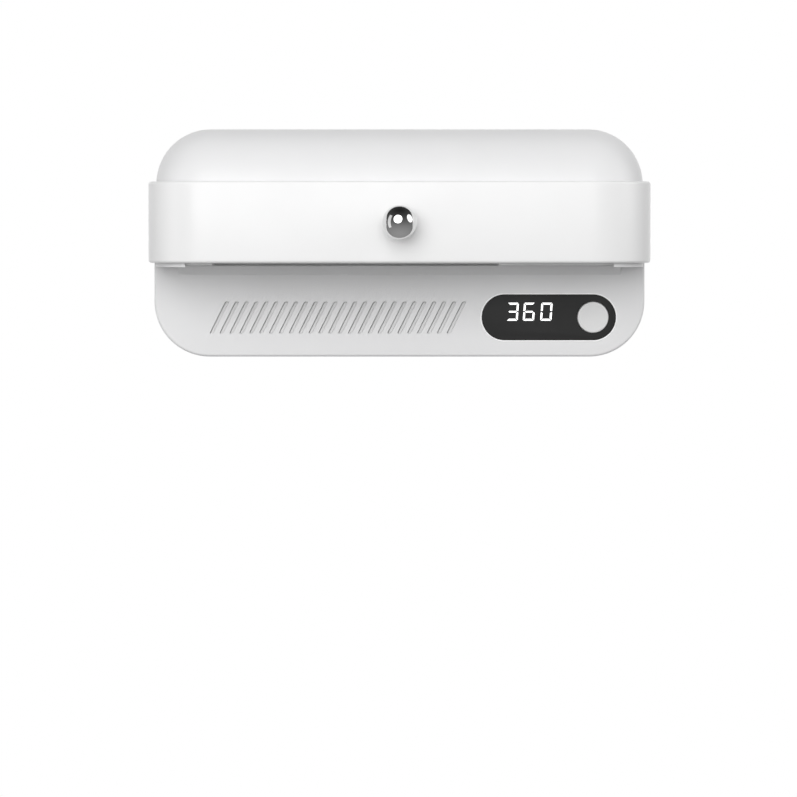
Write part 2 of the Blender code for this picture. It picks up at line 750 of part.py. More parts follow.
def make_door():
    """A U-shaped band whose cheeks turn on trunnions in the hood."""
    back = DOOR_BACK - THROUGH
    outer = plan_outline(DOOR_HALF_WIDTH, DOOR_REACH, DOOR_CORNER, back)
    inner = plan_outline(
        DOOR_HALF_WIDTH - DOOR_THICKNESS, DOOR_REACH - DOOR_THICKNESS,
        DOOR_CORNER - DOOR_THICKNESS, back)
    door = prism("door", outer + list(reversed(inner)), DOOR_Z, "height", "door_plastic")
    bevel(door, DOOR_EDGE)
    past_cheeks = (-DOOR_HALF_WIDTH - THROUGH, DOOR_HALF_WIDTH + THROUGH)
    boolean(door, "INTERSECT", prism("cheek_side_view", cheek_outline(), past_cheeks, "width"))
    reach = (TRUNNION_INNER_X, DOOR_HALF_WIDTH - DOOR_THICKNESS / 2)
    bore_length = 2 * (HINGE_SCREW_TIP_X + GAP - TRUNNION_INNER_X)
    for side in (-1, 1):
        centre = (side * sum(reach) / 2, HINGE_DEPTH, HINGE_Z)
        join(door, rod("trunnion", "width", centre, TRUNNION_RADIUS, reach[1] - reach[0]))
        bore = (side * TRUNNION_INNER_X, HINGE_DEPTH, HINGE_Z)
        cut(door, rod("trunnion_bore", "width", bore, SCREW_HOLE_RADIUS, bore_length, None, 16))
    hole = (DOOR_FRONT - DOOR_THICKNESS - THROUGH, DOOR_FRONT + THROUGH)
    cut(door, rod_between("knob_hole", 0, KNOB_Z, hole, KNOB_BORE_RADIUS, None, 16))
    return door


def cheek_outline():
    """(depth, z) side view of the door, round at its upper back corner."""
    low, top = DOOR_Z[0] - THROUGH, DOOR_Z[1] + THROUGH
    front = DOOR_FRONT + THROUGH
    centre = (DOOR_BACK + CHEEK_CORNER, DOOR_Z[1] - CHEEK_CORNER)
    corner = arc(centre, CHEEK_CORNER, 180, 84, 8)
    return [(DOOR_BACK, low), *corner, (corner[-1][0], top), (front, top), (front, low)]


def make_hinge_hardware():
    """Friction washers inside the hood's cheeks, and the screws that keep the door on."""
    washers, screws = [], []
    washer_x = HOOD_HALF_WIDTH - WALL - GAP - WASHER_THICKNESS / 2
    radius, height = HINGE_SCREW_HEAD
    head_x = TRUNNION_INNER_X - GAP - height / 2
    for name, side in (("left", -1), ("right", 1)):
        centre = (side * washer_x, HINGE_DEPTH, HINGE_Z)
        washer = rod(
            f"friction_washer_{name}", "width", centre, WASHER_RADIUS, WASHER_THICKNESS, "nylon")
        cut(washer, rod("washer_bore", "width", centre, TRUNNION_RADIUS + GAP, 2 * WASHER_THICKNESS))
        head = (side * head_x, HINGE_DEPTH, HINGE_Z)
        screw = rod(f"hinge_screw_{name}", "width", head, radius, height, "steel")
        middle = (side * (head_x + HINGE_SCREW_TIP_X) / 2, HINGE_DEPTH, HINGE_Z)
        length = HINGE_SCREW_TIP_X - head_x
        join(screw, rod("hinge_shank", "width", middle, SCREW_SHANK_RADIUS, length, None, 12))
        washers.append(washer)
        screws.append(screw)
    return washers, screws


def knob_profile():
    """(radius, height) points from the ball's crown to the foot and up the bore."""
    foot = -KNOB_NECK_LENGTH
    neck_angle = math.degrees(math.asin(KNOB_NECK_RADIUS / KNOB_RADIUS)) - 90
    ball = arc((0, 0), KNOB_RADIUS, 90, neck_angle, 14)
    ball[0] = (0, KNOB_RADIUS)
    bore = [(KNOB_BORE_RADIUS, foot), (KNOB_BORE_RADIUS, KNOB_BORE_TOP), (0, KNOB_BORE_TOP)]
    return ball + [(KNOB_NECK_RADIUS, foot)] + bore


def make_knob():
    back = DOOR_FRONT + GAP
    front = back + KNOB_WASHER_THICKNESS
    washer = rod_between("knob_washer", 0, KNOB_Z, (back, front), KNOB_WASHER_RADIUS, "nylon")
    hole = (back - THROUGH, front + THROUGH)
    cut(washer, rod_between("knob_washer_hole", 0, KNOB_Z, hole, KNOB_BORE_RADIUS, None, 16))
    centre = place(0, front + GAP + KNOB_NECK_LENGTH, KNOB_Z)
    knob = turned("knob", knob_profile(), Matrix.Translation(centre) @ TURN["depth"], "chrome")
    screw = pan_screw("knob_screw", 0, KNOB_Z, DOOR_FRONT - DOOR_THICKNESS - GAP, KNOB_SCREW_TIP)
    return [knob, washer, screw]


# ---------------------------------------------------------------- display and button

def make_display():
    outline = stadium(DISPLAY_X, DISPLAY_Z, DISPLAY_HALF_LENGTH, DISPLAY_RADIUS)
    half_length = DISPLAY_HALF_LENGTH + LENS_FLANGE_WIDTH
    rim = stadium(DISPLAY_X, DISPLAY_Z, half_length, DISPLAY_RADIUS + LENS_FLANGE_WIDTH)
    lens = prism("display_lens", outline, LENS_DEPTH, material="display_glass")
    join(lens, prism("lens_flange", rim, LENS_FLANGE_DEPTH))
    through = (LENS_FLANGE_DEPTH[0] - THROUGH, LENS_DEPTH[1] + THROUGH)
    cut(lens, rod_between("button_hole", BUTTON_X, DISPLAY_Z, through, BUTTON_HOLE_RADIUS, None, 32))
    return [lens, box("display_module", *DISPLAY_MODULE, "black_plastic")]


def make_button():
    """A round cap with a flange that stops it behind the lens and a stem for the switch."""
    x, z = BUTTON_X, DISPLAY_Z
    button = rod_between("button", x, z, BUTTON_DEPTH, BUTTON_RADIUS, "button_plastic", 32)
    bevel(button, 0.5)
    flange = rod_between("button_flange", x, z, BUTTON_FLANGE_DEPTH, BUTTON_FLANGE_RADIUS, None, 32)
    stem = rod_between("button_stem", x, z, BUTTON_STEM_DEPTH, BUTTON_STEM_RADIUS, None, 16)
    join(button, flange, stem)
    return button


def make_electronics():
    """Circuit board, the switch under the button, and the battery."""
    board = box("main_board", *MAIN_BOARD, "circuit_board")
    x, z = BUTTON_X, DISPLAY_Z
    span_x, span_z = (x - SWITCH_HALF, x + SWITCH_HALF), (z - SWITCH_HALF, z + SWITCH_HALF)
    switch = box("tact_switch", span_x, SWITCH_DEPTH, span_z, "black_plastic")
    join(switch, rod_between("switch_plunger", x, z, PLUNGER_DEPTH, PLUNGER_RADIUS, None, 16))
    battery = box("battery_pack", *BATTERY, "battery_wrap")
    bevel(battery, 1.5)
    return [board, switch, battery]


def make_socket():
    half, radius = SOCKET_HALF
    shell = prism(
        "charging_socket", stadium(SOCKET_X, SOCKET_DEPTH, half, radius, 6), SOCKET_Z,
        "height", "steel")
    inner = stadium(SOCKET_X, SOCKET_DEPTH, half - SOCKET_SHEET, radius - SOCKET_SHEET, 6)
    hollow = (SOCKET_Z[0] - THROUGH, SOCKET_HOLLOW_TOP)
    cut(shell, prism("socket_hollow", inner, hollow, "height"))
    half_x, half_depth = TONGUE_HALF
    tongue_x = (SOCKET_X - half_x, SOCKET_X + half_x)
    tongue_depth = (SOCKET_DEPTH - half_depth, SOCKET_DEPTH + half_depth)
    join(shell, box("socket_tongue", tongue_x, tongue_depth, TONGUE_Z))
    return shell


def make_lamps():
    half_x, half_z = LAMP_BOARD_HALF
    board_z = (LAMP_Z - half_z, LAMP_Z + half_z)
    board = box("uv_board", (-half_x, half_x), LAMP_BOARD_DEPTH, board_z, "circuit_board")
    half_x, half_z = LAMP_WINDOW_HALF[0] - GAP, LAMP_WINDOW_HALF[1] - GAP
    window_z = (LAMP_Z - half_z, LAMP_Z + half_z)
    window = box("uv_window", (-half_x, half_x), LAMP_WINDOW_DEPTH, window_z, "quartz_glass")
    lamp_z = (LAMP_Z - LAMP_HALF, LAMP_Z + LAMP_HALF)
    lamps = [
        box(f"uv_lamp_{number}", (x - LAMP_HALF, x + LAMP_HALF), LAMP_DEPTH, lamp_z, "lamp")
        for number, x in enumerate(LAMP_X, 1)
    ]
    return [board, window, *lamps]


def make_reflector():
    """The bright panel on the chamber's back wall, open at the lamps and the louvre."""
    depth = (HOOD_BACK, HOOD_BACK + REFLECTOR_THICKNESS)
    width = (-REFLECTOR_HALF_WIDTH, REFLECTOR_HALF_WIDTH)
    panel = box("reflector_panel", width, depth, REFLECTOR_Z, "reflector")
    through = (depth[0] - THROUGH, depth[1] + THROUGH)
    half_x, half_z = LAMP_WINDOW_HALF
    cut(panel, box("reflector_opening", (-half_x, half_x), through, (LAMP_Z - half_z, LAMP_Z + half_z)))
    cut(panel, louvre_cutters(through))
    return panel


# ---------------------------------------------------------------- warm air

def make_blower_housing():
    back, front = BLOWER_DEPTH
    case = box("blower_housing", BLOWER_CASE_X, BLOWER_DEPTH, BLOWER_CASE_Z, "black_plastic")
    cavity = (back + BLOWER_FLOOR, front - BLOWER_LID)
    cut(case, rod_between("blower_cavity", BLOWER_X, BLOWER_Z, cavity, BLOWER_CAVITY_RADIUS, None, 40))
    inlet = (cavity[1] - THROUGH, front + THROUGH)
    cut(case, rod_between("blower_inlet", BLOWER_X, BLOWER_Z, inlet, BLOWER_INLET_RADIUS, None, 32))
    outlet_z = (BLOWER_Z, BLOWER_CASE_Z[1] + THROUGH)
    cut(case, box("blower_outlet", OUTLET_X, cavity, outlet_z))
    return case


def make_motor():
    x, z = BLOWER_X, BLOWER_Z
    through = (MOTOR_DEPTH[0] - THROUGH, MOTOR_DEPTH[1] + THROUGH)
    motor = rod_between("blower_motor", x, z, MOTOR_DEPTH, MOTOR_RADIUS, "steel")
    cut(motor, rod_between("motor_bore", x, z, through, MOTOR_BORE_RADIUS, None, 12))
    return motor


def make_impeller():
    """A cup that turns over the motor, with a rear disc and radial blades."""
    x, z = BLOWER_X, BLOWER_Z
    wheel = rod_between("blower_impeller", x, z, HUB_DEPTH, HUB_RADIUS, "black_plastic", 32)
    cup = (HUB_DEPTH[0] - THROUGH, HUB_DEPTH[1] - HUB_WALL)
    cut(wheel, rod_between("hub_cup", x, z, cup, HUB_RADIUS - HUB_WALL, None, 32))
    shaft = (ROTOR_DISC_DEPTH[0], HUB_DEPTH[1] - HUB_WALL / 2)
    join(wheel, rod_between("rotor_shaft", x, z, shaft, SHAFT_RADIUS, None, 12))
    disc = rod_between("rotor_disc", x, z, ROTOR_DISC_DEPTH, ROTOR_RADIUS + GAP, None, 32)
    through = (ROTOR_DISC_DEPTH[0] - THROUGH, ROTOR_DISC_DEPTH[1] + THROUGH)
    cut(disc, rod_between("rotor_disc_hole", x, z, through, HUB_RADIUS - GAP, None, 32))
    join(wheel, disc, rotor_blades())
    return wheel


def rotor_blades():
    bm = bmesh.new()
    inner, outer = HUB_RADIUS - HUB_WALL / 2, ROTOR_RADIUS
    width = BLADE_DEPTH[1] - BLADE_DEPTH[0]
    size = Matrix.Diagonal(((outer - inner) * MM, width * MM, BLADE_THICKNESS * MM, 1.0))
    out = Matrix.Translation(((inner + outer) / 2 * MM, 0, 0))
    for index in range(BLADE_COUNT):
        turn = Matrix.Rotation(2 * math.pi * index / BLADE_COUNT, 4, "Y")
        bmesh.ops.create_cube(bm, size=1.0, matrix=turn @ out @ size)
    centre = place(BLOWER_X, sum(BLADE_DEPTH) / 2, BLOWER_Z)
    return add_mesh("rotor_blades", bm, Matrix.Translation(centre), None)


def make_duct():
    """A box that leads the blower's air through the heater to the louvre."""
    depth = (BLOWER_DEPTH[0], HOUSING_FRONT - WALL - GAP)
    duct = box("air_duct", DUCT_X, depth, DUCT_Z, "black_plastic")
    hollow_x = (DUCT_X[0] + DUCT_WALL, DUCT_X[1] - DUCT_WALL)
    hollow_z = (DUCT_HOLLOW_LOW, DUCT_Z[1] - DUCT_WALL)
    cut(duct, box("duct_hollow", hollow_x, DUCT_HOLLOW_DEPTH, hollow_z))
    inlet_z = (DUCT_Z[0] - THROUGH, DUCT_HOLLOW_LOW + THROUGH)
    cut(duct, box("duct_inlet", OUTLET_X, DUCT_INLET_DEPTH, inlet_z))
    return duct


def make_heater():
    heater = box("heater", *HEATER, "ceramic")
    (low_x, high_x), (_, front), (low_z, high_z) = HEATER
    width, gap_depth = HEATER_GAP
    bm = bmesh.new()
    size = Matrix.Diagonal((width * MM, 2 * gap_depth * MM, 2 * (high_z - low_z) * MM, 1.0))
    first = (low_x + high_x) / 2 - HEATER_GAP_PITCH * (HEATER_GAP_COUNT - 1) / 2
    for index in range(HEATER_GAP_COUNT):
        centre = place(first + index * HEATER_GAP_PITCH, front, (low_z + high_z) / 2)
        bmesh.ops.create_cube(bm, size=1.0, matrix=Matrix.Translation(centre) @ size)
    cut(heater, add_mesh("heater_gaps", bm, Matrix.Identity(4), None))
    return heater


# Wire routes as (x, depth, z), each from its device to the main board's edge
LEADS = {
    "blower_lead": (
        (-35.7, 12, -24), (-24, 12, -24), (-6, 12, -18), (20, 12, -18), (36, 10, -23), (43.7, 9.1, -24)),
    "battery_lead": ((60, 12, -8.3), (60, 12, -12), (58, 10.5, -16), (58, 9.1, -19.7)),
    "lamp_lead": ((46, 16.4, 26.7), (46, 16, 20), (46, 13, 4), (47, 10, -12), (48, 9.1, -19.7)),
}


def make_leads():
    return [
        tube(name, smooth_route(knots), WIRE_RADIUS, "lead_wire") for name, knots in LEADS.items()
    ]


def smooth_route(knots, steps=5):
    """Catmull-Rom points through the knots."""
    points = []
    padded = [knots[0], *knots, knots[-1]]
    for before, start, end, after in zip(padded, padded[1:], padded[2:], padded[3:]):
        for step in range(steps):
            t = step / steps
            points.append(tuple(
                0.5 * (2 * b + (c - a) * t + (2 * a - 5 * b + 4 * c - d) * t ** 2
                       + (3 * b - a - 3 * c + d) * t ** 3)
                for a, b, c, d in zip(before, start, end, after)))
    return points + [knots[-1]]


# ---------------------------------------------------------------- assembly

def build():
    make_wall_side()
    shelf_side, door_side = make_catches()
    washers, hinge_screws = make_hinge_hardware()
    unit = axis_empty("main_unit_slide", place(0, 0, 0))
    hinge = axis_empty("door_hinge_axis", place(0, HINGE_DEPTH, HINGE_Z))
    door = [make_door(), *make_knob(), *door_side, *hinge_screws]
    fixed = [
        make_rear_housing(), make_back_cover(), *make_back_screws(),
        make_hood(), *make_hood_screws(), make_shelf(), make_rack(), *make_rack_screws(),
        *shelf_side, *washers, *make_display(), *make_electronics(), make_socket(), *make_lamps(),
        make_reflector(), make_blower_housing(), make_motor(), make_duct(), make_heater(),
        box("dust_filter", *DUST_FILTER, "filter_mesh"), *make_leads(),
    ]
    attach(unit, *fixed, hinge, make_button(), make_impeller())
    attach(hinge, *door)


empty_scene()
PARTS = collection("toothbrush_sanitizer")
CUTTERS = collection("cutters")
MATERIALS = make_materials()
build()
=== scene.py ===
"""Looks of the wall-hung toothbrush sanitizer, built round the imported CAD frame.

Metres, +X right, +Y into the wall, +Z up. Sizes that the frame holds are read from it;
the constants below are what only the looks need.
"""
import json
import math

import bmesh
import bpy
from mathutils import Matrix, Vector


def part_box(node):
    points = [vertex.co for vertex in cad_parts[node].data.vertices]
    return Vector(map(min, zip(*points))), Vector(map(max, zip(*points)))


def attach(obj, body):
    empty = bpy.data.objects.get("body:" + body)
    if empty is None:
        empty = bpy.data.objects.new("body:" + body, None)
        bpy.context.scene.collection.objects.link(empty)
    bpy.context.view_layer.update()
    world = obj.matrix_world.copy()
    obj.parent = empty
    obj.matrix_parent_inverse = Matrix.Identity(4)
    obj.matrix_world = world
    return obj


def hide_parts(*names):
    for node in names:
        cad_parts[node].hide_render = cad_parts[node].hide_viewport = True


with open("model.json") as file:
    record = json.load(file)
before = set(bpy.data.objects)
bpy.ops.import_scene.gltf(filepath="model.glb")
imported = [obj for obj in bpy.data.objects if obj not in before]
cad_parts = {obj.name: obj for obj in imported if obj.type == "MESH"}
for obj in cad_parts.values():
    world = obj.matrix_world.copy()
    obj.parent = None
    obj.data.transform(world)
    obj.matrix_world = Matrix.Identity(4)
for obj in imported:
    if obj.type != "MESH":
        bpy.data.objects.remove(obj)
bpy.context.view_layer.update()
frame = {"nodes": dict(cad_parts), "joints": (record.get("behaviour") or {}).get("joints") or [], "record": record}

MM = 0.001
NODES = frame["nodes"]
JOINTS = {joint["name"]: joint for joint in frame["joints"]}
HINGE = Vector(JOINTS["door_hinge"]["pos_m"])

# Shells
WALL = 2.0 * MM
HOOD_CORNER = 27.5 * MM
HOUSING_CORNER_LOW = 28.0 * MM
CORNER_STEPS = 28
TURN_STEPS = 36
DROP_STEPS = 6
FLAT_STEPS = 14
THROUGH = 1.0 * MM              # how far a cutter reaches past what it cuts
PAST = 2.0 * MM                 # the same for the hood, door and shelf cutters

# Edges
DOOR_EDGE = 1.5 * MM
DOOR_INNER_EDGE = 0.45 * MM
HOUSING_EDGE = 1.3 * MM
RIM_EDGE = 0.3 * MM
SMALL_EDGE = 0.3 * MM
RACK_EDGE = 0.4 * MM

# Hood
MOUTH_HALF_WIDTH = 107.0 * MM
MOUTH_TOP = 18.0 * MM
MOUTH_CORNER = 6.0 * MM
MOUTH_BACK = -46.0 * MM
MOUTH_MARGIN = 5.0 * MM
HINGE_BORE_RADIUS = 5.3 * MM
HINGE_BORE_DEPTH = 6.0 * MM
HOOD_BOSS_RADIUS = 3.9 * MM
HOOD_BOSS_FRONT = -32.0 * MM

# Door and knob
DOOR_CORNER = 29.9 * MM
DOOR_THICKNESS = 1.9 * MM
CHEEK_CORNER = 8.0 * MM
TRUNNION_X = (118.9 * MM, 124.0 * MM)
TRUNNION_RADIUS = 5.0 * MM
KNOB_HOLE_DEPTH = 4.0 * MM
KNOB_NECK_RADIUS = 3.8 * MM
KNOB_FOOT_EDGE = 0.35 * MM
KNOB_BORE_RADIUS = 1.7 * MM
KNOB_BORE_TOP = -2.0 * MM

# Housing
HOUSING_FRONT = -22.0 * MM
SHOULDER_Z = (-5.0 * MM, 25.0 * MM)
COVER_BOSS_RADIUS = 4.0 * MM
COVER_BOSS_BACK = -6.6 * MM
COVER_BORE_RADIUS = 1.6 * MM
COVER_BORE = (-5.0 * MM, -16.0 * MM)
WINDOW_GAP = 0.3 * MM
SOCKET_MOUTH = (4.8 * MM, 1.9 * MM)

# Ledge under the shelf: its foot, the underside of its lip and its top
LEDGE_HALF_WIDTH = 112.0 * MM
LEDGE_FRONT = -25.6 * MM
LEDGE_Z = (-16.0 * MM, -12.0 * MM, -11.2 * MM)

# Louvre between the heater and the chamber
LOUVRE_X = (-80.0 * MM, -45.0 * MM)
LOUVRE_Z = (3.0 * MM, 6.0 * MM, 9.0 * MM, 12.0 * MM)
LOUVRE_HALF_HEIGHT = 0.8 * MM

# Air slots: count, size and lean, and the strip of filter screen that shows in each
VENT_COUNT = 25
VENT_FIRST_X = -91.3 * MM
VENT_PITCH = 5.005 * MM
VENT_Z = -37.7 * MM
VENT_HEIGHT = 16.0 * MM
VENT_WIDTH = 2.0 * MM
VENT_LEAN = 0.5
VENT_CORNER = 0.4 * MM
SCREEN_DEPTH = 0.6 * MM
SCREEN_BACK = 0.5 * MM
SCREEN_SIDES = (0.45 * MM, 0.12 * MM)
SCREEN_ENDS = (0.15 * MM, 0.3 * MM)
SCREEN_CORNER = 0.2 * MM

# Display and button; (half length, end radius) for the opening and the lens
DISPLAY_OPENING = (34.15 * MM, 11.75 * MM)
LENS = (34.0 * MM, 11.6 * MM)
LENS_EDGE = 0.45 * MM
LENS_CHAMFER = 0.12 * MM
STADIUM_STEPS = 40
# The lip round the display, its colour a painted highlight: (growth past its opening, height over the panel)
RING_SECTION = ((-0.1 * MM, -0.5 * MM), (-0.1 * MM, 0.12 * MM), (0.05 * MM, 0.22 * MM),
                (0.35 * MM, 0.22 * MM), (0.5 * MM, 0.12 * MM), (0.5 * MM, -0.5 * MM))
BUTTON_HOLE_RADIUS = 8.15 * MM
BUTTON_RADIUS = 7.8 * MM
BUTTON_EDGE = 0.55 * MM
BUTTON_FLANGE = 1.4 * MM
BUTTON_STEM_RADIUS = 2.0 * MM
# The dish in its face: (share of the radius, depth)
BUTTON_DISH = ((0.0, 0.16 * MM), (0.45, 0.13 * MM), (0.80, 0.04 * MM))
# Its flange starts, is full width and ends at these shares of its length
BUTTON_FLANGE_STEPS = (0.55, 0.58, 0.70)

# Digits
DIGIT_HEIGHT = 9.1 * MM
DIGIT_WIDTH = 5.7 * MM
DIGIT_STROKE = 0.98 * MM
DIGIT_GAP = 0.28 * MM
DIGIT_LEAN = 0.07
DIGIT_SINK = 0.25 * MM
DIGIT_RISE = 0.02 * MM
DIGIT_Z = -39.3 * MM
DIGIT_X = (54.2 * MM, 62.5 * MM, 71.3 * MM)
DIGITS = ("3", "6", "0")

# Shelf and rack
SHELF_CORNER = HOOD_CORNER - WALL - 0.3 * MM
SHELF_OPENING_X = (-93.5 * MM, 49.6 * MM)
SHELF_OPENING_BACK = -24.5 * MM
NOTCH_X = (-70.5 * MM, -37.5 * MM, -4.5 * MM, 28.5 * MM)
NOTCH_RADIUS = 4.0 * MM
NOTCH_FLARE = 1.6 * MM
NOTCH_DEPTH = -38.0 * MM
RACK_HOLE_RADIUS = 1.3 * MM

# Stage
FLOOR_Z = -0.9
FLOOR_RADIUS = 3.0
FLOOR_GREYS = (0.84, 0.86)
FLOOR_GLOW = 0.45
CAMERA_PLACE = (-0.0005, -2.556, 0.0106)
CAMERA_TILT = 2.02              # degrees below level
CAMERA_SENSOR = 36.0
CAMERA_LENS = 225.8
VIEW_END = 50.0

# Softboxes: azimuth to the right of the camera's side, elevation, distance, size, watts, shape
LIGHTS = {
    "key_light": (-11, 21.5, 1.1, (1.15, 1.15), 9.3, "DISK"),
    "right_light": (79, 20, 1.4, (1.1, 1.1), 4.1, "DISK"),
    "left_light": (-73, 5, 1.4, (0.60, 1.9), 2.3, "RECTANGLE"),
}

# Studio: (height of a direction from 0 down to 1 up, grey level); the wall's glow goes by
# depth, from 0 at the camera's side to 1 behind the object
REFLECTED_SKY = ((0.0, 0.33), (0.28, 0.24), (0.5, 0.15), (0.73, 0.075), (0.92, 0.04), (1.0, 0.02))
FILL_SKY = ((0.0, 0.26), (0.25, 0.26), (0.45, 0.40), (0.55, 0.60), (0.75, 0.40), (1.0, 0.20))
WALL_GLOW = ((0.0, 0.0), (0.55, 0.0), (0.75, 0.22), (1.0, 0.45))
REFLECTED_WALL = ((0.0, 0.0), (0.78, 0.0), (1.0, 1.0))


# ---------------------------------------------------------------- mesh helpers

def node_size(name):
    low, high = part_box(name)
    return low, high, (low + high) / 2


def middle_of(name):
    return node_size(name)[2]


def arc(centre, radius, start, end, steps):
    """Points on an arc in a plane, angles in degrees, both ends included."""
    points = []
    for step in range(steps + 1):
        angle = math.radians(start + (end - start) * step / steps)
        points.append((centre[0] + radius * math.cos(angle), centre[1] + radius * math.sin(angle)))
    return points


def new_object(name, bm):
    mesh = bpy.data.meshes.new(name)
    bm.to_mesh(mesh)
    bm.free()
    obj = bpy.data.objects.new(name, mesh)
    bpy.context.scene.collection.objects.link(obj)
    return obj


def loft(name, loops, close_ends=True):
    """Skins a list of equal closed loops of points; the ends become flat caps."""
    bm = bmesh.new()
    rings = [[bm.verts.new(point) for point in loop] for loop in loops]
    count = len(rings[0])
    for first, second in zip(rings, rings[1:]):
        for index in range(count):
            following = (index + 1) % count
            bm.faces.new((first[index], first[following], second[following], second[index]))
    if close_ends:
        bm.faces.new(list(reversed(rings[0])))
        bm.faces.new(rings[-1])
    bmesh.ops.recalc_face_normals(bm, faces=bm.faces)
    return new_object(name, bm)


def prism(name, outline, low, high, along="y"):
    """A flat outline between two limits along y, with (x, z) points, or z, with (x, y)."""
    if along == "y":
        loops = [[(a, level, b) for a, b in outline] for level in (low, high)]
    else:
        loops = [[(a, b, level) for a, b in outline] for level in (low, high)]
    return loft(name, loops)


def box(name, low, high):
    x, y = (low[0], high[0]), (low[1], high[1])
    outline = [(x[0], y[0]), (x[1], y[0]), (x[1], y[1]), (x[0], y[1])]
    return prism(name, outline, low[2], high[2], "z")


def rod(name, start, end, radius, segments=48):
    """A cylinder between two points."""
    start, end = Vector(start), Vector(end)
    axis = end - start
    bm = bmesh.new()
    bmesh.ops.create_cone(bm, cap_ends=True, segments=segments, radius1=radius, radius2=radius,
                          depth=axis.length)
    turn = Vector((0, 0, 1)).rotation_difference(axis).to_matrix().to_4x4()
    bm.transform(Matrix.Translation((start + end) / 2) @ turn)
    return new_object(name, bm)


def lathe(name, profile, centre, steps=96):
    """Turns (radius, distance towards the room) points about the Y axis through centre."""
    bm = bmesh.new()
    rings = []
    for radius, out in profile:
        if radius < 1e-7:
            rings.append([bm.verts.new((centre[0], centre[1] - out, centre[2]))])
            continue
        ring = []
        for step in range(steps):
            angle = 2 * math.pi * step / steps
            point = (centre[0] + radius * math.cos(angle), centre[1] - out,
                     centre[2] + radius * math.sin(angle))
            ring.append(bm.verts.new(point))
        rings.append(ring)
    for first, second in zip(rings, rings[1:]):
        for step in range(steps):
            following = (step + 1) % steps
            if len(first) == 1:
                bm.faces.new((first[0], second[step], second[following]))
            elif len(second) == 1:
                bm.faces.new((first[step], second[0], first[following]))
            else:
                bm.faces.new((first[step], second[step], second[following], first[following]))
    bmesh.ops.recalc_face_normals(bm, faces=bm.faces)
    return new_object(name, bm)


def cut(target, *tools):
    """Takes the tools away from the target, and then removes them."""
    for tool in tools:
        modifier = target.modifiers.new("cut", "BOOLEAN")
        modifier.operation = "DIFFERENCE"
        modifier.solver = "EXACT"
        modifier.object = tool
    apply_modifiers(target)
    for tool in tools:
        bpy.data.objects.remove(tool)


def apply_modifiers(obj):
    bpy.context.view_layer.update()
    evaluated = obj.evaluated_get(bpy.context.evaluated_depsgraph_get())
    mesh = bpy.data.meshes.new_from_object(evaluated)
    obj.modifiers.clear()
    obj.data = mesh


def join_meshes(name, pieces):
    """Puts several meshes into one object and removes them."""
    bm = bmesh.new()
    for piece in pieces:
        bm.from_mesh(piece.data)
        bpy.data.objects.remove(piece)
    return new_object(name, bm)


def round_edges(obj, width, segments=3, angle=32):
    modifier = obj.modifiers.new("round edges", "BEVEL")
    modifier.width = width
    modifier.segments = segments
    modifier.limit_method = "ANGLE"
    modifier.angle_limit = math.radians(angle)
    modifier.miter_outer = "MITER_ARC"
    modifier.harden_normals = False
    apply_modifiers(obj)


def smooth(obj, angle=40):
    obj.data.shade_smooth()
    obj.data.set_sharp_from_angle(angle=math.radians(angle))


def finish_piece(obj, material, body, slot, *nodes, angle=40):
    smooth(obj, angle)
    obj.data.materials.clear()
    obj.data.materials.append(material)
    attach(obj, body)
    if nodes:
        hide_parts(*nodes)


# ---------------------------------------------------------------- materials

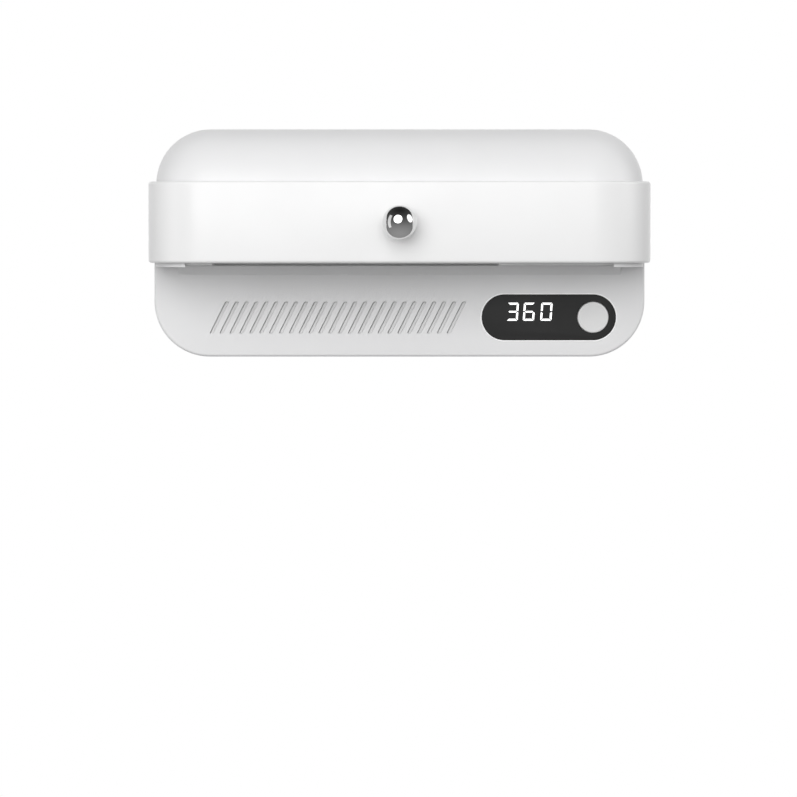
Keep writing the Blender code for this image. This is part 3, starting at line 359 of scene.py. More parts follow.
class Shader:
    """A Principled material with helpers for its procedural inputs."""

    def __init__(self, name, colour, roughness, metallic=0.0):
        self.material = bpy.data.materials.new(name)
        self.material.use_nodes = True
        self.tree = self.material.node_tree
        self.shader = self.tree.nodes["Principled BSDF"]
        self.colour = colour
        self.set("Base Color", (*colour, 1.0))
        self.set("Roughness", roughness)
        self.set("Metallic", metallic)
        self.place = self.tree.nodes.new("ShaderNodeTexCoord").outputs["Object"]

    def set(self, socket, value):
        self.shader.inputs[socket].default_value = value

    def link(self, output, socket):
        self.tree.links.new(output, socket)

    def place_texture(self, node, scale, stretch=None):
        """Sets a texture's scale and feeds it the place on the object, stretched or not."""
        node.inputs["Scale"].default_value = scale
        source = self.place
        if stretch:
            mapping = self.tree.nodes.new("ShaderNodeMapping")
            mapping.inputs["Scale"].default_value = stretch
            self.link(source, mapping.inputs["Vector"])
            source = mapping.outputs["Vector"]
        self.link(source, node.inputs["Vector"])

    def noise(self, scale, detail=3.0, roughness=0.55, stretch=None):
        node = self.tree.nodes.new("ShaderNodeTexNoise")
        node.inputs["Detail"].default_value = detail
        node.inputs["Roughness"].default_value = roughness
        self.place_texture(node, scale, stretch)
        return node.outputs["Fac"]

    def voronoi(self, scale, stretch=None):
        node = self.tree.nodes.new("ShaderNodeTexVoronoi")
        self.place_texture(node, scale, stretch)
        return node.outputs["Distance"]

    def waves(self, scale, direction):
        node = self.tree.nodes.new("ShaderNodeTexWave")
        node.wave_type = "BANDS"
        node.bands_direction = direction
        node.wave_profile = "SIN"
        self.place_texture(node, scale)
        return node.outputs["Fac"]

    def larger(self, first, second):
        node = self.tree.nodes.new("ShaderNodeMath")
        node.operation = "MAXIMUM"
        self.link(first, node.inputs[0])
        self.link(second, node.inputs[1])
        return node.outputs["Value"]

    def spread(self, fac, low, high):
        """Maps the middle of a 0 to 1 value, where noise mostly lies, to a range."""
        node = self.tree.nodes.new("ShaderNodeMapRange")
        node.inputs["From Min"].default_value = 0.3
        node.inputs["From Max"].default_value = 0.7
        node.inputs["To Min"].default_value = low
        node.inputs["To Max"].default_value = high
        self.link(fac, node.inputs["Value"])
        return node.outputs["Result"]

    def vary_roughness(self, fac, low, high):
        self.link(self.spread(fac, low, high), self.shader.inputs["Roughness"])

    def vary_colour(self, fac, other):
        """Mixes the base colour with another by a 0 to 1 value."""
        node = self.tree.nodes.new("ShaderNodeMix")
        node.data_type = "RGBA"
        node.inputs["A"].default_value = (*self.colour, 1.0)
        node.inputs["B"].default_value = (*other, 1.0)
        self.link(self.spread(fac, 0.0, 1.0), node.inputs["Factor"])
        self.link(node.outputs["Result"], self.shader.inputs["Base Color"])

    def bump(self, height, distance, strength):
        node = self.tree.nodes.new("ShaderNodeBump")
        node.inputs["Distance"].default_value = distance
        node.inputs["Strength"].default_value = strength
        self.link(height, node.inputs["Height"])
        self.link(node.outputs["Normal"], self.shader.inputs["Normal"])


def moulded(name, colour, low, high, grain=1400.0, depth=0.02 * MM, tone=0.97, coat=0.0,
            specular=0.5, glow=0.0):
    """Injection-moulded plastic: faint flow marks in tone and gloss, and a fine skin; glow is emission, a painted
    highlight.
    """
    shader = Shader(name, colour, (low + high) / 2)
    flow = shader.noise(28.0, 2.0)
    shader.vary_roughness(flow, low, high)
    shader.vary_colour(shader.noise(55.0, 4.0), tuple(tone * channel for channel in colour))
    shader.bump(shader.noise(grain, 2.0), depth, 0.35)
    shader.set("Coat Weight", coat)
    shader.set("Coat Roughness", 0.22)
    shader.set("IOR", 1.5)
    shader.set("Specular IOR Level", specular)
    shader.set("Emission Color", (*colour, 1.0))
    shader.set("Emission Strength", glow)
    return shader.material


def polished_metal(name, colour, low, high):
    shader = Shader(name, colour, low, 1.0)
    shader.vary_roughness(shader.noise(220.0, 4.0), low, high)
    shader.bump(shader.noise(90.0, 1.0), 0.01 * MM, 0.12)
    return shader.material


def brushed_metal(name, colour, low, high, stretch):
    shader = Shader(name, colour, low, 1.0)
    streaks = shader.noise(900.0, 3.0, 0.6, stretch)
    shader.vary_roughness(streaks, low, high)
    shader.vary_colour(streaks, tuple(0.86 * channel for channel in colour))
    shader.bump(streaks, 0.01 * MM, 0.3)
    return shader.material


def foam(name, colour):
    shader = Shader(name, colour, 0.95)
    cells = shader.voronoi(1300.0)
    shader.vary_colour(cells, tuple(0.6 * channel for channel in colour))
    shader.bump(cells, 0.15 * MM, 0.7)
    return shader.material


def woven_filter(name, colour):
    """A fine plain weave with darker pores between its threads."""
    shader = Shader(name, colour, 0.85)
    across = shader.waves(900.0, "X")
    upwards = shader.waves(900.0, "Z")
    weave = shader.larger(across, upwards)
    shader.vary_colour(weave, tuple(min(1.0, 1.12 * channel) for channel in colour))
    shader.bump(weave, 0.08 * MM, 0.5)
    return shader.material


def board_material(name, colour):
    """Solder mask with paler copper runs under it."""
    shader = Shader(name, colour, 0.4)
    runs = shader.voronoi(260.0, (1.0, 0.2, 2.4))
    shader.vary_colour(runs, tuple(min(1.0, 1.9 * channel + 0.02) for channel in colour))
    shader.bump(runs, 0.03 * MM, 0.4)
    shader.vary_roughness(shader.noise(160.0), 0.30, 0.5)
    return shader.material


def glass_material(name, colour):
    shader = Shader(name, colour, 0.05)
    shader.set("Transmission Weight", 0.85)
    shader.set("IOR", 1.46)
    shader.vary_roughness(shader.noise(120.0), 0.03, 0.10)
    return shader.material


def glowing(name, strength):
    """White light from behind a milky mask, a little uneven over each segment."""
    shader = Shader(name, (1.0, 1.0, 1.0), 0.5)
    shader.set("Emission Color", (1.0, 1.0, 1.0, 1.0))
    level = shader.spread(shader.noise(420.0, 2.0), 0.97 * strength, 1.03 * strength)
    shader.link(level, shader.shader.inputs["Emission Strength"])
    return shader.material


WHITE = moulded("white_shell", (0.84, 0.84, 0.845), 0.34, 0.44, tone=0.985)
DOOR_WHITE = moulded("door_shell", (0.90, 0.90, 0.90), 0.28, 0.36, grain=700.0,
                     depth=0.01 * MM, tone=0.99, coat=0.15)
SHELF_WHITE = moulded("shelf_shell", (0.80, 0.80, 0.80), 0.45, 0.58, tone=0.96)
# Paler than the panel and faintly glowing: a painted highlight on the display's lip.
RING_PAINTED_HIGHLIGHT = moulded("display_ring", (0.95, 0.95, 0.95), 0.25, 0.35, tone=0.99, glow=0.10)
BUTTON_WHITE = moulded("panel_button", (0.80, 0.80, 0.80), 0.38, 0.50, grain=2600.0,
                       depth=0.03 * MM, tone=0.97)
LENS_BLACK = moulded("display_lens", (0.030, 0.030, 0.030), 0.48, 0.58, grain=500.0,
                     depth=0.005 * MM, tone=0.9, specular=0.2)
DARK = moulded("dark_plastic", (0.045, 0.045, 0.047), 0.50, 0.68, grain=1800.0,
               depth=0.06 * MM, tone=0.8)
NYLON = moulded("nylon", (0.75, 0.73, 0.68), 0.45, 0.6)
BATTERY = moulded("battery_wrap", (0.08, 0.19, 0.42), 0.28, 0.42, grain=320.0,
                  depth=0.06 * MM, tone=0.85)
CERAMIC = moulded("heater_ceramic", (0.80, 0.78, 0.73), 0.65, 0.85, grain=2200.0,
                  depth=0.06 * MM, tone=0.88)
LAMP = moulded("uv_lamp", (0.86, 0.80, 0.55), 0.30, 0.45, tone=0.9)
WIRE = moulded("lead_insulation", (0.50, 0.05, 0.04), 0.38, 0.52, tone=0.8)
CHROME = polished_metal("knob_chrome", (0.80, 0.80, 0.80), 0.02, 0.05)
NICKEL = polished_metal("magnet_nickel", (0.70, 0.69, 0.65), 0.16, 0.28)
STEEL = brushed_metal("steel_hardware", (0.58, 0.58, 0.60), 0.24, 0.42, (1.0, 1.0, 0.15))
REFLECTOR = brushed_metal("reflector", (0.82, 0.83, 0.84), 0.14, 0.26, (0.04, 1.0, 1.0))
FOAM = foam("pad_foam", (0.14, 0.14, 0.15))
FILTER = woven_filter("filter_mesh", (0.66, 0.66, 0.66))
SCREEN = moulded("filter_screen", (0.80, 0.80, 0.80), 0.6, 0.75, grain=3000.0,
                 depth=0.05 * MM, tone=0.9)
BOARD = board_material("circuit_board", (0.02, 0.17, 0.07))
QUARTZ = glass_material("window_glass", (0.86, 0.92, 0.98))
DIGIT_LIGHT = glowing("digit_light", 1.0)

SLOT_MATERIALS = {
    "white_shell": WHITE, "door_shell": DOOR_WHITE, "shelf_shell": SHELF_WHITE,
    "panel_button": BUTTON_WHITE, "display_lens": LENS_BLACK, "dark_plastic": DARK,
    "window_glass": QUARTZ, "knob_chrome": CHROME, "steel_hardware": STEEL,
    "magnet_nickel": NICKEL, "reflector": REFLECTOR, "nylon": NYLON, "pad_foam": FOAM,
    "filter_mesh": FILTER, "circuit_board": BOARD, "heater_ceramic": CERAMIC,
    "battery_wrap": BATTERY, "uv_lamp": LAMP, "lead_insulation": WIRE,
}


def dress_cad_nodes():
    """Gives every CAD node the procedural material of its slot."""
    for part in frame["record"]["subparts"]:
        node = NODES[part["node"]]
        node.data.materials.clear()
        node.data.materials.append(SLOT_MATERIALS[part["material_slot"]])
        smooth(node, 35)


# ---------------------------------------------------------------- hood

def plan_curve(half_width, front, corner):
    """(x, y) from the right cheek round the front to the left one; front is the lowest y."""
    run = half_width - corner
    middle = front + corner
    right = arc((run, middle), corner, 0, -90, CORNER_STEPS)
    left = arc((-run, middle), corner, -90, -180, CORNER_STEPS)
    flat = [(run - 2 * run * step / FLAT_STEPS, front) for step in range(1, FLAT_STEPS)]
    return right + flat + left


def hood_path(radius, back, bottom):
    """(y, z) side view of the hood at one distance from the hinge, back to front."""
    points = [(back, HINGE.z + radius)]
    for step in range(TURN_STEPS + 1):
        angle = math.radians(90 * step / TURN_STEPS)
        points.append((HINGE.y - radius * math.sin(angle), HINGE.z + radius * math.cos(angle)))
    for step in range(1, DROP_STEPS + 1):
        points.append((HINGE.y - radius, HINGE.z + (bottom - HINGE.z) * step / DROP_STEPS))
    return points


def rounded_mouth(half_width, top, low, corner):
    run = half_width - corner
    points = [(half_width, low)] + arc((run, top - corner), corner, 0, 90, 12)
    return points + arc((-run, top - corner), corner, 90, 180, 12) + [(-half_width, low)]


def hood_surface(low, high):
    """The hood's outer skin: its side view swept round its plan, with flat cheeks."""
    bm = bmesh.new()
    rows = []
    for x, y in plan_curve(high.x, low.y, HOOD_CORNER):
        rows.append([bm.verts.new((x, *point)) for point in hood_path(HINGE.y - y, high.y, low.z)])
    for right, left in zip(rows, rows[1:]):
        for step in range(len(right) - 1):
            bm.faces.new((right[step], left[step], left[step + 1], right[step + 1]))
    for row in (rows[0], rows[-1]):
        corner = bm.verts.new((row[0].co.x, high.y, low.z))
        bm.faces.new([*row, corner])
    bmesh.ops.recalc_face_normals(bm, faces=bm.faces)
    return new_object("hood_shell", bm)


def make_hood():
    low, high, _ = node_size("hood")
    hood = hood_surface(low, high)
    shell = hood.modifiers.new("wall", "SOLIDIFY")
    shell.thickness = WALL
    shell.offset = -1.0
    shell.use_even_offset = True
    mouth = rounded_mouth(MOUTH_HALF_WIDTH, MOUTH_TOP, low.z - THROUGH, MOUTH_CORNER)
    tools = [prism("mouth", mouth, low.y - MOUTH_MARGIN, MOUTH_BACK)]
    for side in (-1, 1):
        start = (side * (high.x - HINGE_BORE_DEPTH), HINGE.y, HINGE.z)
        end = (side * (high.x + PAST), HINGE.y, HINGE.z)
        tools.append(rod("hinge_bore", start, end, HINGE_BORE_RADIUS))
    cut(hood, *tools)
    round_edges(hood, SMALL_EDGE, 2, 50)
    finish_piece(hood, WHITE, "main_unit", "white_shell", "hood")
    for number in range(1, 5):
        centre = middle_of(f"hood_screw_{number}")
        boss = rod(f"hood_boss_{number}", (centre.x, high.y, centre.z),
                   (centre.x, HOOD_BOSS_FRONT, centre.z), HOOD_BOSS_RADIUS)
        round_edges(boss, SMALL_EDGE, 2, 50)
        finish_piece(boss, WHITE, "main_unit", "white_shell")


# ---------------------------------------------------------------- door

def door_stations():
    """(x, y, outward normal, top z) along the band, from the right cheek to the left."""
    low, high, _ = node_size("door")
    curve = plan_curve(high.x, low.y, DOOR_CORNER)
    centre = (high.y - CHEEK_CORNER, high.z - CHEEK_CORNER)
    cheek = arc(centre, CHEEK_CORNER, 0, 90, 12)
    stations = []
    for y, top in cheek:
        stations.append(((high.x, y), (1.0, 0.0), top))
    for index, point in enumerate(curve):
        before = curve[max(index - 1, 0)]
        after = curve[min(index + 1, len(curve) - 1)]
        along = Vector((after[0] - before[0], after[1] - before[1])).normalized()
        normal = (-along.y, along.x)
        if index == 0:
            normal = (1.0, 0.0)
        if index == len(curve) - 1:
            normal = (-1.0, 0.0)
        stations.append((point, normal, high.z))
    for y, top in reversed(cheek):
        stations.append(((-high.x, y), (-1.0, 0.0), top))
    return stations


def band_section(bottom, top):
    """(inset, z) of the band's rounded cross-section."""
    edge, inner = DOOR_EDGE, DOOR_INNER_EDGE
    points = arc((edge, bottom + edge), edge, 180, 270, 8)
    points += arc((DOOR_THICKNESS - inner, bottom + inner), inner, 270, 360, 4)
    points += arc((DOOR_THICKNESS - inner, top - inner), inner, 0, 90, 4)
    points += arc((edge, top - edge), edge, 90, 180, 8)
    return points


def make_door():
    low = node_size("door")[0]
    loops = []
    for (x, y), (nx, ny), top in door_stations():
        loops.append([(x - nx * inset, y - ny * inset, z) for inset, z in band_section(low.z, top)])
    band = loft("door_band", loops)
    knob = middle_of("knob")
    cut(band, rod("knob_hole", (knob.x, low.y - PAST, knob.z),
                  (knob.x, low.y + KNOB_HOLE_DEPTH, knob.z), KNOB_BORE_RADIUS))
    finish_piece(band, DOOR_WHITE, "visor_door", "door_shell", "door", angle=50)
    for name, side in (("left", -1), ("right", 1)):
        start, end = [(side * x, HINGE.y, HINGE.z) for x in TRUNNION_X]
        trunnion = rod(f"door_trunnion_{name}", start, end, TRUNNION_RADIUS, 64)
        round_edges(trunnion, SMALL_EDGE, 2)
        finish_piece(trunnion, DOOR_WHITE, "visor_door", "door_shell")


def make_knob():
    """A ball on a short neck, with a blind bore for its screw."""
    low, high, centre = node_size("knob")
    radius = (high.x - low.x) / 2
    ball_y = low.y + radius
    length = high.y - ball_y
    join = -math.degrees(math.acos(KNOB_NECK_RADIUS / radius))
    profile = [(0.0, radius)] + arc((0, 0), radius, 87, join, 60)
    profile += [(KNOB_NECK_RADIUS, -length + KNOB_FOOT_EDGE),
                (KNOB_NECK_RADIUS - KNOB_FOOT_EDGE, -length),
                (KNOB_BORE_RADIUS, -length), (KNOB_BORE_RADIUS, KNOB_BORE_TOP), (0.0, KNOB_BORE_TOP)]
    knob = lathe("knob_ball", profile, (centre.x, ball_y, centre.z), 128)
    finish_piece(knob, CHROME, "visor_door", "knob_chrome", "knob")


# ---------------------------------------------------------------- housing and panel

def housing_outline(inset):
    """(x, z) elevation of the housing, shrunk by inset; it narrows behind the door."""
    low, high, _ = node_size("rear_housing")
    top_half = node_size("hood")[1].x
    corner = HOUSING_CORNER_LOW - inset
    half, half_top = high.x - inset, top_half - inset
    x_low, x_top = half - corner, half_top - corner
    z_low, z_top = low.z + inset + corner, high.z - inset - corner
    points = arc((x_low, z_low), corner, -90, 0, CORNER_STEPS)
    points += [(half, SHOULDER_Z[0]), (half_top, SHOULDER_Z[1])]
    points += arc((x_top, z_top), corner, 0, 90, CORNER_STEPS)
    points += arc((-x_top, z_top), corner, 90, 180, CORNER_STEPS)
    points += [(-half_top, SHOULDER_Z[1]), (-half, SHOULDER_Z[0])]
    points += arc((-x_low, z_low), corner, 180, 270, CORNER_STEPS)
    return points


def housing_loops(front, back):
    """From inside the tray, over its rim, along the wall and round the front edge."""
    loops = [
        (WALL, front + WALL), (WALL, back - RIM_EDGE), (WALL - RIM_EDGE, back),
        (RIM_EDGE, back), (0.0, back - RIM_EDGE),
    ]
    for step in range(9):
        angle = math.radians(90 * step / 8)
        loops.append((HOUSING_EDGE * (1 - math.cos(angle)),
                      front + HOUSING_EDGE * (1 - math.sin(angle))))
    return [[(x, y, z) for x, z in housing_outline(inset)] for inset, y in loops]


def stadium(x, z, half_length, radius, steps=24):
    run = half_length - radius
    return arc((x + run, z), radius, -90, 90, steps) + arc((x - run, z), radius, 90, 270, steps)


def leaning_outline(x, left, right, low, high, nip):
    """A slot leaning to the right, (left, right) from its centre line, with nipped corners."""
    points = []
    for side, up, turn in ((right, low, 1), (right, high, -1), (left, high, 1), (left, low, -1)):
        inwards = -nip if side > 0 else nip
        along = nip if up < 0 else -nip
        pair = [(side + inwards, up), (side, up + along)]
        for across, rise in (pair if turn > 0 else reversed(pair)):
            points.append((x + across + VENT_LEAN * rise, VENT_Z + rise))
    return points


def slot_outline(x):
    half, rise = VENT_WIDTH / 2, VENT_HEIGHT / 2
    return leaning_outline(x, -half, half, -rise, rise, VENT_CORNER)


def screen_outline(x):
    """The part of the filter screen that shows in a slot, closer to its right side."""
    half, rise = VENT_WIDTH / 2, VENT_HEIGHT / 2
    return leaning_outline(x, SCREEN_SIDES[0] - half, half - SCREEN_SIDES[1],
                           SCREEN_ENDS[0] - rise, rise - SCREEN_ENDS[1], SCREEN_CORNER)


def make_filter():
    """The dust filter: a frame with a raised strip of screen in each slot."""
    low, high, _ = node_size("dust_filter")
    plate = box("filter_frame", low, high)
    round_edges(plate, SMALL_EDGE, 2)
    finish_piece(plate, FILTER, "main_unit", "filter_mesh", "dust_filter")
    strips = []
    for index in range(VENT_COUNT):
        outline = screen_outline(VENT_FIRST_X + index * VENT_PITCH)
        strips.append(prism("strip", outline, HOUSING_FRONT + SCREEN_DEPTH, low.y + SCREEN_BACK))
    screen = join_meshes("filter_screen", strips)
    finish_piece(screen, SCREEN, "main_unit", "filter_mesh")


def housing_cutters(bottom):
    """Every opening in the housing's front and the socket's mouth in its underside."""
    front = HOUSING_FRONT
    through = (front - THROUGH, front + WALL + THROUGH)
    lens = middle_of("display_lens")
    tools = [prism("display_opening", stadium(lens.x, lens.z, *DISPLAY_OPENING), *through)]
    window_low, window_high, _ = node_size("uv_window")
    tools.append(box("lamp_opening", (window_low.x - WINDOW_GAP, through[0], window_low.z - WINDOW_GAP),
                     (window_high.x + WINDOW_GAP, through[1], window_high.z + WINDOW_GAP)))
    for level in LOUVRE_Z:
        tools.append(box("louvre", (LOUVRE_X[0], through[0], level - LOUVRE_HALF_HEIGHT),
                         (LOUVRE_X[1], through[1], level + LOUVRE_HALF_HEIGHT)))
    for index in range(VENT_COUNT):
        outline = slot_outline(VENT_FIRST_X + index * VENT_PITCH)
        tools.append(prism("slot", outline, *through))
    socket = middle_of("charging_socket")
    mouth = [(socket.x + a, socket.y + b) for a, b in stadium(0, 0, *SOCKET_MOUTH)]
    tools.append(prism("socket_mouth", mouth, bottom - THROUGH, bottom + WALL + THROUGH, "z"))
    return tools


def make_housing():
    low, high, _ = node_size("rear_housing")
    shell = loft("housing_shell", housing_loops(HOUSING_FRONT, high.y))
    cut(shell, *housing_cutters(low.z))
    finish_piece(shell, WHITE, "main_unit", "white_shell", "rear_housing", angle=35)
    make_ledge()
    for number in range(1, 5):
        centre = middle_of(f"back_screw_{number}")
        boss = rod(f"cover_boss_{number}", (centre.x, COVER_BOSS_BACK, centre.z),
                   (centre.x, HOUSING_FRONT + WALL / 2, centre.z), COVER_BOSS_RADIUS)
        ends = [(centre.x, y, centre.z) for y in COVER_BORE]
        cut(boss, rod("bore", *ends, COVER_BORE_RADIUS))
        finish_piece(boss, WHITE, "main_unit", "white_shell")


def make_ledge():
    """The lip under the shelf, sloping back to the panel."""
    foot, lip, top = LEDGE_Z
    back = HOUSING_FRONT + WALL / 2
    side = [(back, top), (LEDGE_FRONT, top), (LEDGE_FRONT, lip), (HOUSING_FRONT, foot), (back, foot)]
    ends = (-LEDGE_HALF_WIDTH, LEDGE_HALF_WIDTH)
    ledge = loft("shelf_ledge", [[(x, y, z) for y, z in side] for x in ends])
    round_edges(ledge, SMALL_EDGE, 2, 40)
    finish_piece(ledge, WHITE, "main_unit", "white_shell")


# ---------------------------------------------------------------- display and button

def make_display_ring():
    """A lip round the display, a little proud of the panel; its pale, faintly glowing colour is a painted
    highlight.
    """
    lens = middle_of("display_lens")
    loops = []
    for grow, out in RING_SECTION:
        half, radius = DISPLAY_OPENING[0] + grow, DISPLAY_OPENING[1] + grow
        outline = stadium(lens.x, lens.z, half, radius, STADIUM_STEPS)
        loops.append([(x, HOUSING_FRONT - out, z) for x, z in outline])
    ring = loft("display_ring", loops, close_ends=False)
    bm = bmesh.new()
    bm.from_mesh(ring.data)
    bmesh.ops.bridge_loops(bm, edges=[edge for edge in bm.edges if edge.is_boundary])
    bmesh.ops.recalc_face_normals(bm, faces=bm.faces)
    bm.to_mesh(ring.data)
    bm.free()
    finish_piece(ring, RING_PAINTED_HIGHLIGHT, "main_unit", "panel_button")


def make_lens():
    low, high, lens = node_size("display_lens")
    steps = ((LENS_EDGE, low.y), (LENS_CHAMFER, low.y + LENS_CHAMFER), (0.0, low.y + LENS_EDGE),
             (0.0, high.y))
    loops = []
    for inset, y in steps:
        outline = stadium(lens.x, lens.z, LENS[0] - inset, LENS[1] - inset, STADIUM_STEPS)
        loops.append([(x, y, z) for x, z in outline])
    piece = loft("lens_plate", loops)
    button = middle_of("button")
    hole = rod("button_hole", (button.x, low.y - THROUGH, button.z),
               (button.x, high.y + THROUGH, button.z), BUTTON_HOLE_RADIUS, 96)
    cut(piece, hole)
    finish_piece(piece, LENS_BLACK, "main_unit", "display_lens", "display_lens", angle=30)


def make_button():
    """A cap with a slightly dished face, a flange behind the lens and a stem to the switch."""
    low, high, centre = node_size("button")
    radius, edge, flange = BUTTON_RADIUS, BUTTON_EDGE, BUTTON_RADIUS + BUTTON_FLANGE
    back = low.y - high.y
    start, full, end = [back * share for share in BUTTON_FLANGE_STEPS]
    cap = [(radius * share, -depth) for share, depth in BUTTON_DISH]
    cap += arc((radius - edge, -edge), edge, 90, 0, 8)
    cap += [(radius, start), (flange, full), (flange, end),
            (BUTTON_STEM_RADIUS, end), (BUTTON_STEM_RADIUS, back), (0.0, back)]
    button = lathe("button_cap", cap, (centre.x, low.y, centre.z), 96)
    finish_piece(button, BUTTON_WHITE, "power_button", "panel_button", "button")


# ---------------------------------------------------------------- digits

def segment_shapes():
    """The seven strokes of a digit, as (x, z) outlines with mitred ends."""
    width, height, stroke = DIGIT_WIDTH, DIGIT_HEIGHT, DIGIT_STROKE
    middle, bar = height / 2, 0.42 * DIGIT_STROKE
    inner = width - stroke
    gap = DIGIT_GAP
    shapes = {
        "top": [(gap, height), (width - gap, height), (inner - gap, height - stroke),
                (stroke + gap, height - stroke)],
        "middle": [(bar + gap, middle), (stroke + gap, middle + bar), (inner - gap, middle + bar),
                   (width - bar - gap, middle), (inner - gap, middle - bar),
                   (stroke + gap, middle - bar)],
        "left_top": [(0.0, height - gap), (stroke, height - stroke - gap),
                     (stroke, middle + bar + gap), (bar, middle + gap), (0.0, middle + bar)],
    }
    shapes["bottom"] = [(x, height - z) for x, z in shapes["top"]]
    shapes["left_bottom"] = [(x, height - z) for x, z in shapes["left_top"]]
    shapes["right_top"] = [(width - x, z) for x, z in shapes["left_top"]]
    shapes["right_bottom"] = [(width - x, height - z) for x, z in shapes["left_top"]]
    return shapes


STROKES = {
    "3": ("top", "right_top", "middle", "right_bottom", "bottom"),
    "6": ("top", "left_top", "middle", "left_bottom", "right_bottom", "bottom"),
    "0": ("top", "left_top", "right_top", "left_bottom", "right_bottom", "bottom"),
}


def make_digits():
    """Lit strokes, flush in the lens's face."""
    face = node_size("display_lens")[0].y
    shapes = segment_shapes()
    for number, (digit, start) in enumerate(zip(DIGITS, DIGIT_X), 1):
        bm = bmesh.new()
        for stroke in STROKES[digit]:
            outline = [(start + x + DIGIT_LEAN * z, DIGIT_Z + z) for x, z in shapes[stroke]]
            rings = [[bm.verts.new((x, y, z)) for x, z in outline]
                     for y in (face + DIGIT_SINK, face - DIGIT_RISE)]
            count = len(outline)
            bm.faces.new(rings[0])
            bm.faces.new(list(reversed(rings[1])))
            for index in range(count):
                following = (index + 1) % count
                bm.faces.new((rings[0][index], rings[1][index],
                              rings[1][following], rings[0][following]))
        bmesh.ops.recalc_face_normals(bm, faces=bm.faces)
        piece = new_object(f"digit_{number}", bm)
        piece.data.materials.append(DIGIT_LIGHT)
        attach(piece, "main_unit")


# ---------------------------------------------------------------- shelf and rack

def make_shelf():
    low, high, _ = node_size("shelf_plate")
    curve = plan_curve(high.x, low.y, SHELF_CORNER)
    outline = [(high.x, high.y)] + curve + [(-high.x, high.y)]
    shelf = prism("shelf_floor", outline, low.z, high.z, "z")
    opening = box("brush_opening", (SHELF_OPENING_X[0], low.y - PAST, low.z - THROUGH),
                  (SHELF_OPENING_X[1], SHELF_OPENING_BACK, high.z + THROUGH))
    cut(shelf, opening)
    round_edges(shelf, SMALL_EDGE, 2, 50)
    finish_piece(shelf, SHELF_WHITE, "main_unit", "shelf_shell", "shelf_plate")


def make_rack():
    low, high, _ = node_size("brush_rack")
    points = [(low.x, high.y), (low.x, low.y)]
    for x in NOTCH_X:
        side = NOTCH_RADIUS + NOTCH_FLARE
        points += arc((x - side, low.y + NOTCH_FLARE), NOTCH_FLARE, -90, 0, 6)
        points += arc((x, NOTCH_DEPTH), NOTCH_RADIUS, 180, 0, 20)
        points += arc((x + side, low.y + NOTCH_FLARE), NOTCH_FLARE, 180, 270, 6)
    points += [(high.x, low.y), (high.x, high.y)]
    rack = prism("rack_comb", points, low.z, high.z, "z")
    tools = []
    for name in ("rack_screw_left", "rack_screw_right"):
        centre = middle_of(name)
        tools.append(rod("screw_hole", (centre.x, centre.y, low.z - THROUGH),
                         (centre.x, centre.y, high.z + THROUGH), RACK_HOLE_RADIUS))
    cut(rack, *tools)
    round_edges(rack, RACK_EDGE, 3, 50)
    finish_piece(rack, SHELF_WHITE, "main_unit", "shelf_shell", "brush_rack")


# ---------------------------------------------------------------- stage

def make_stage():
    """A pale floor, left out of reflections and bounces so that the sky below sets them."""
    bm = bmesh.new()
    bmesh.ops.create_circle(bm, cap_ends=True, segments=96, radius=FLOOR_RADIUS)
    floor = new_object("floor", bm)
    floor.location.z = FLOOR_Z
    floor.visible_diffuse = False
    floor.visible_glossy = False
    grey, paler = FLOOR_GREYS
    shader = Shader("floor_paint", (grey, grey, grey), 0.8)
    shader.vary_colour(shader.noise(3.0), (paler, paler, paler))
    shader.set("Emission Color", (1.0, 1.0, 1.0, 1.0))
    shader.set("Emission Strength", FLOOR_GLOW)
    floor.data.materials.append(shader.material)


def aim(obj, target):
    direction = Vector(target) - obj.location
    obj.rotation_euler = direction.to_track_quat("-Z", "Y").to_euler()


def softbox(name, azimuth, elevation, distance, size, power, shape):
    """An area light aimed at the knob, unseen by the camera."""
    target = middle_of("knob")
    a, e = math.radians(azimuth), math.radians(elevation)
    away = Vector((math.sin(a) * math.cos(e), -math.cos(a) * math.cos(e), math.sin(e)))
    light = bpy.data.lights.new(name, "AREA")
    light.shape = shape
    light.size, light.size_y = size
    light.energy = power
    obj = bpy.data.objects.new(name, light)
    bpy.context.scene.collection.objects.link(obj)
    obj.location = target + away * distance
    aim(obj, target)
    obj.visible_camera = False


def make_lights():
    for name, setting in LIGHTS.items():
        softbox(name, *setting)


def sky(tree, height, stops):
    """A background whose grey level follows the direction's height, 0 down to 1 up."""
    ramp = tree.nodes.new("ShaderNodeValToRGB")
    background = tree.nodes.new("ShaderNodeBackground")
    elements = ramp.color_ramp.elements
    while len(elements) < len(stops):
        elements.new(0.5)
    for element, (position, level) in zip(elements, stops):
        element.position = position
        element.color = (level, level, level, 1.0)
    tree.links.new(height, ramp.inputs["Fac"])
    tree.links.new(ramp.outputs["Color"], background.inputs["Color"])
    return background


def unit_range(tree, value):
    """Maps -1 to 1 onto 0 to 1."""
    scale = tree.nodes.new("ShaderNodeMapRange")
    scale.inputs["From Min"].default_value = -1.0
    tree.links.new(value, scale.inputs["Value"])
    return scale.outputs["Result"]


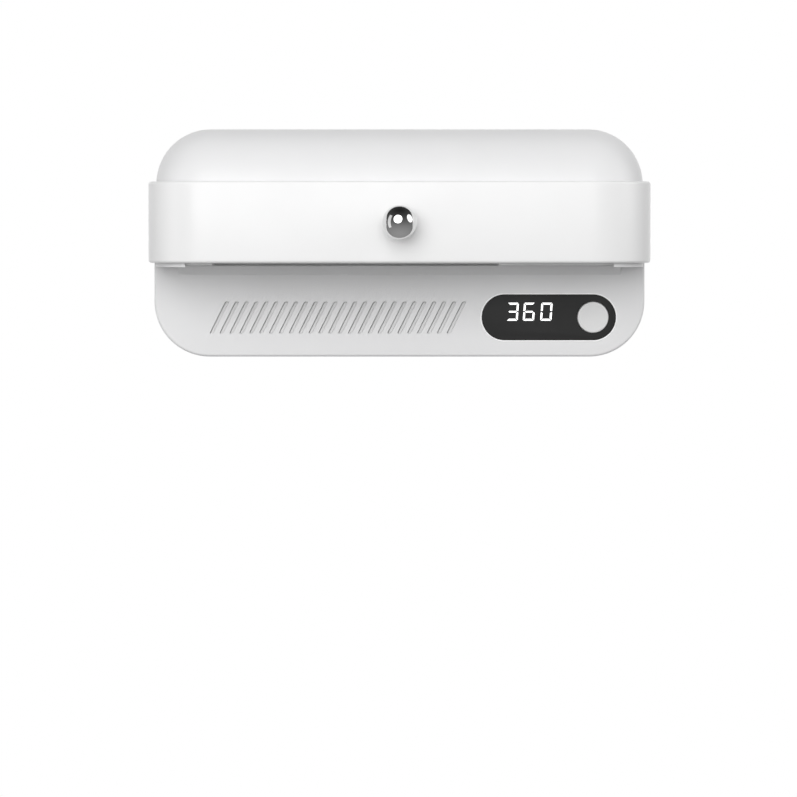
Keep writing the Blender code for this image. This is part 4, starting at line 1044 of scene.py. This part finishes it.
def add_skies(tree, first, second):
    total = tree.nodes.new("ShaderNodeAddShader")
    tree.links.new(first.outputs[0], total.inputs[0])
    tree.links.new(second.outputs[0], total.inputs[1])
    return total


def mix_skies(tree, ray, first, second):
    mix = tree.nodes.new("ShaderNodeMixShader")
    tree.links.new(ray, mix.inputs["Fac"])
    tree.links.new(first.outputs[0], mix.inputs[1])
    tree.links.new(second.outputs[0], mix.inputs[2])
    return mix


def make_world():
    """White behind the object; dark above and mid grey below in what it reflects."""
    world = bpy.data.worlds.new("studio")
    bpy.context.scene.world = world
    world.use_nodes = True
    tree = world.node_tree
    tree.nodes.clear()
    place = tree.nodes.new("ShaderNodeTexCoord")
    parts = tree.nodes.new("ShaderNodeSeparateXYZ")
    tree.links.new(place.outputs["Generated"], parts.inputs[0])
    height = unit_range(tree, parts.outputs["Z"])
    depth = unit_range(tree, parts.outputs["Y"])
    path = tree.nodes.new("ShaderNodeLightPath")
    reflected = add_skies(tree, sky(tree, height, REFLECTED_SKY), sky(tree, depth, REFLECTED_WALL))
    fill = add_skies(tree, sky(tree, height, FILL_SKY), sky(tree, depth, WALL_GLOW))
    backdrop = sky(tree, height, ((0.0, 1.0), (1.0, 1.0)))
    lighting = mix_skies(tree, path.outputs["Is Glossy Ray"], fill, reflected)
    seen = mix_skies(tree, path.outputs["Is Camera Ray"], lighting, backdrop)
    out = tree.nodes.new("ShaderNodeOutputWorld")
    tree.links.new(seen.outputs[0], out.inputs["Surface"])


def make_camera():
    """A long lens level with the door, tilted down a little."""
    camera = bpy.data.cameras.new("camera")
    camera.sensor_width = CAMERA_SENSOR
    camera.lens = CAMERA_LENS
    camera.clip_end = VIEW_END
    obj = bpy.data.objects.new("camera", camera)
    bpy.context.scene.collection.objects.link(obj)
    obj.location = CAMERA_PLACE
    obj.rotation_euler = (math.radians(90 - CAMERA_TILT), 0, 0)
    bpy.context.scene.camera = obj
    bpy.context.scene.view_settings.view_transform = "Standard"


dress_cad_nodes()
make_hood()
make_door()
make_knob()
make_housing()
make_filter()
make_display_ring()
make_lens()
make_button()
make_digits()
make_shelf()
make_rack()
make_stage()
make_lights()
make_world()
make_camera()
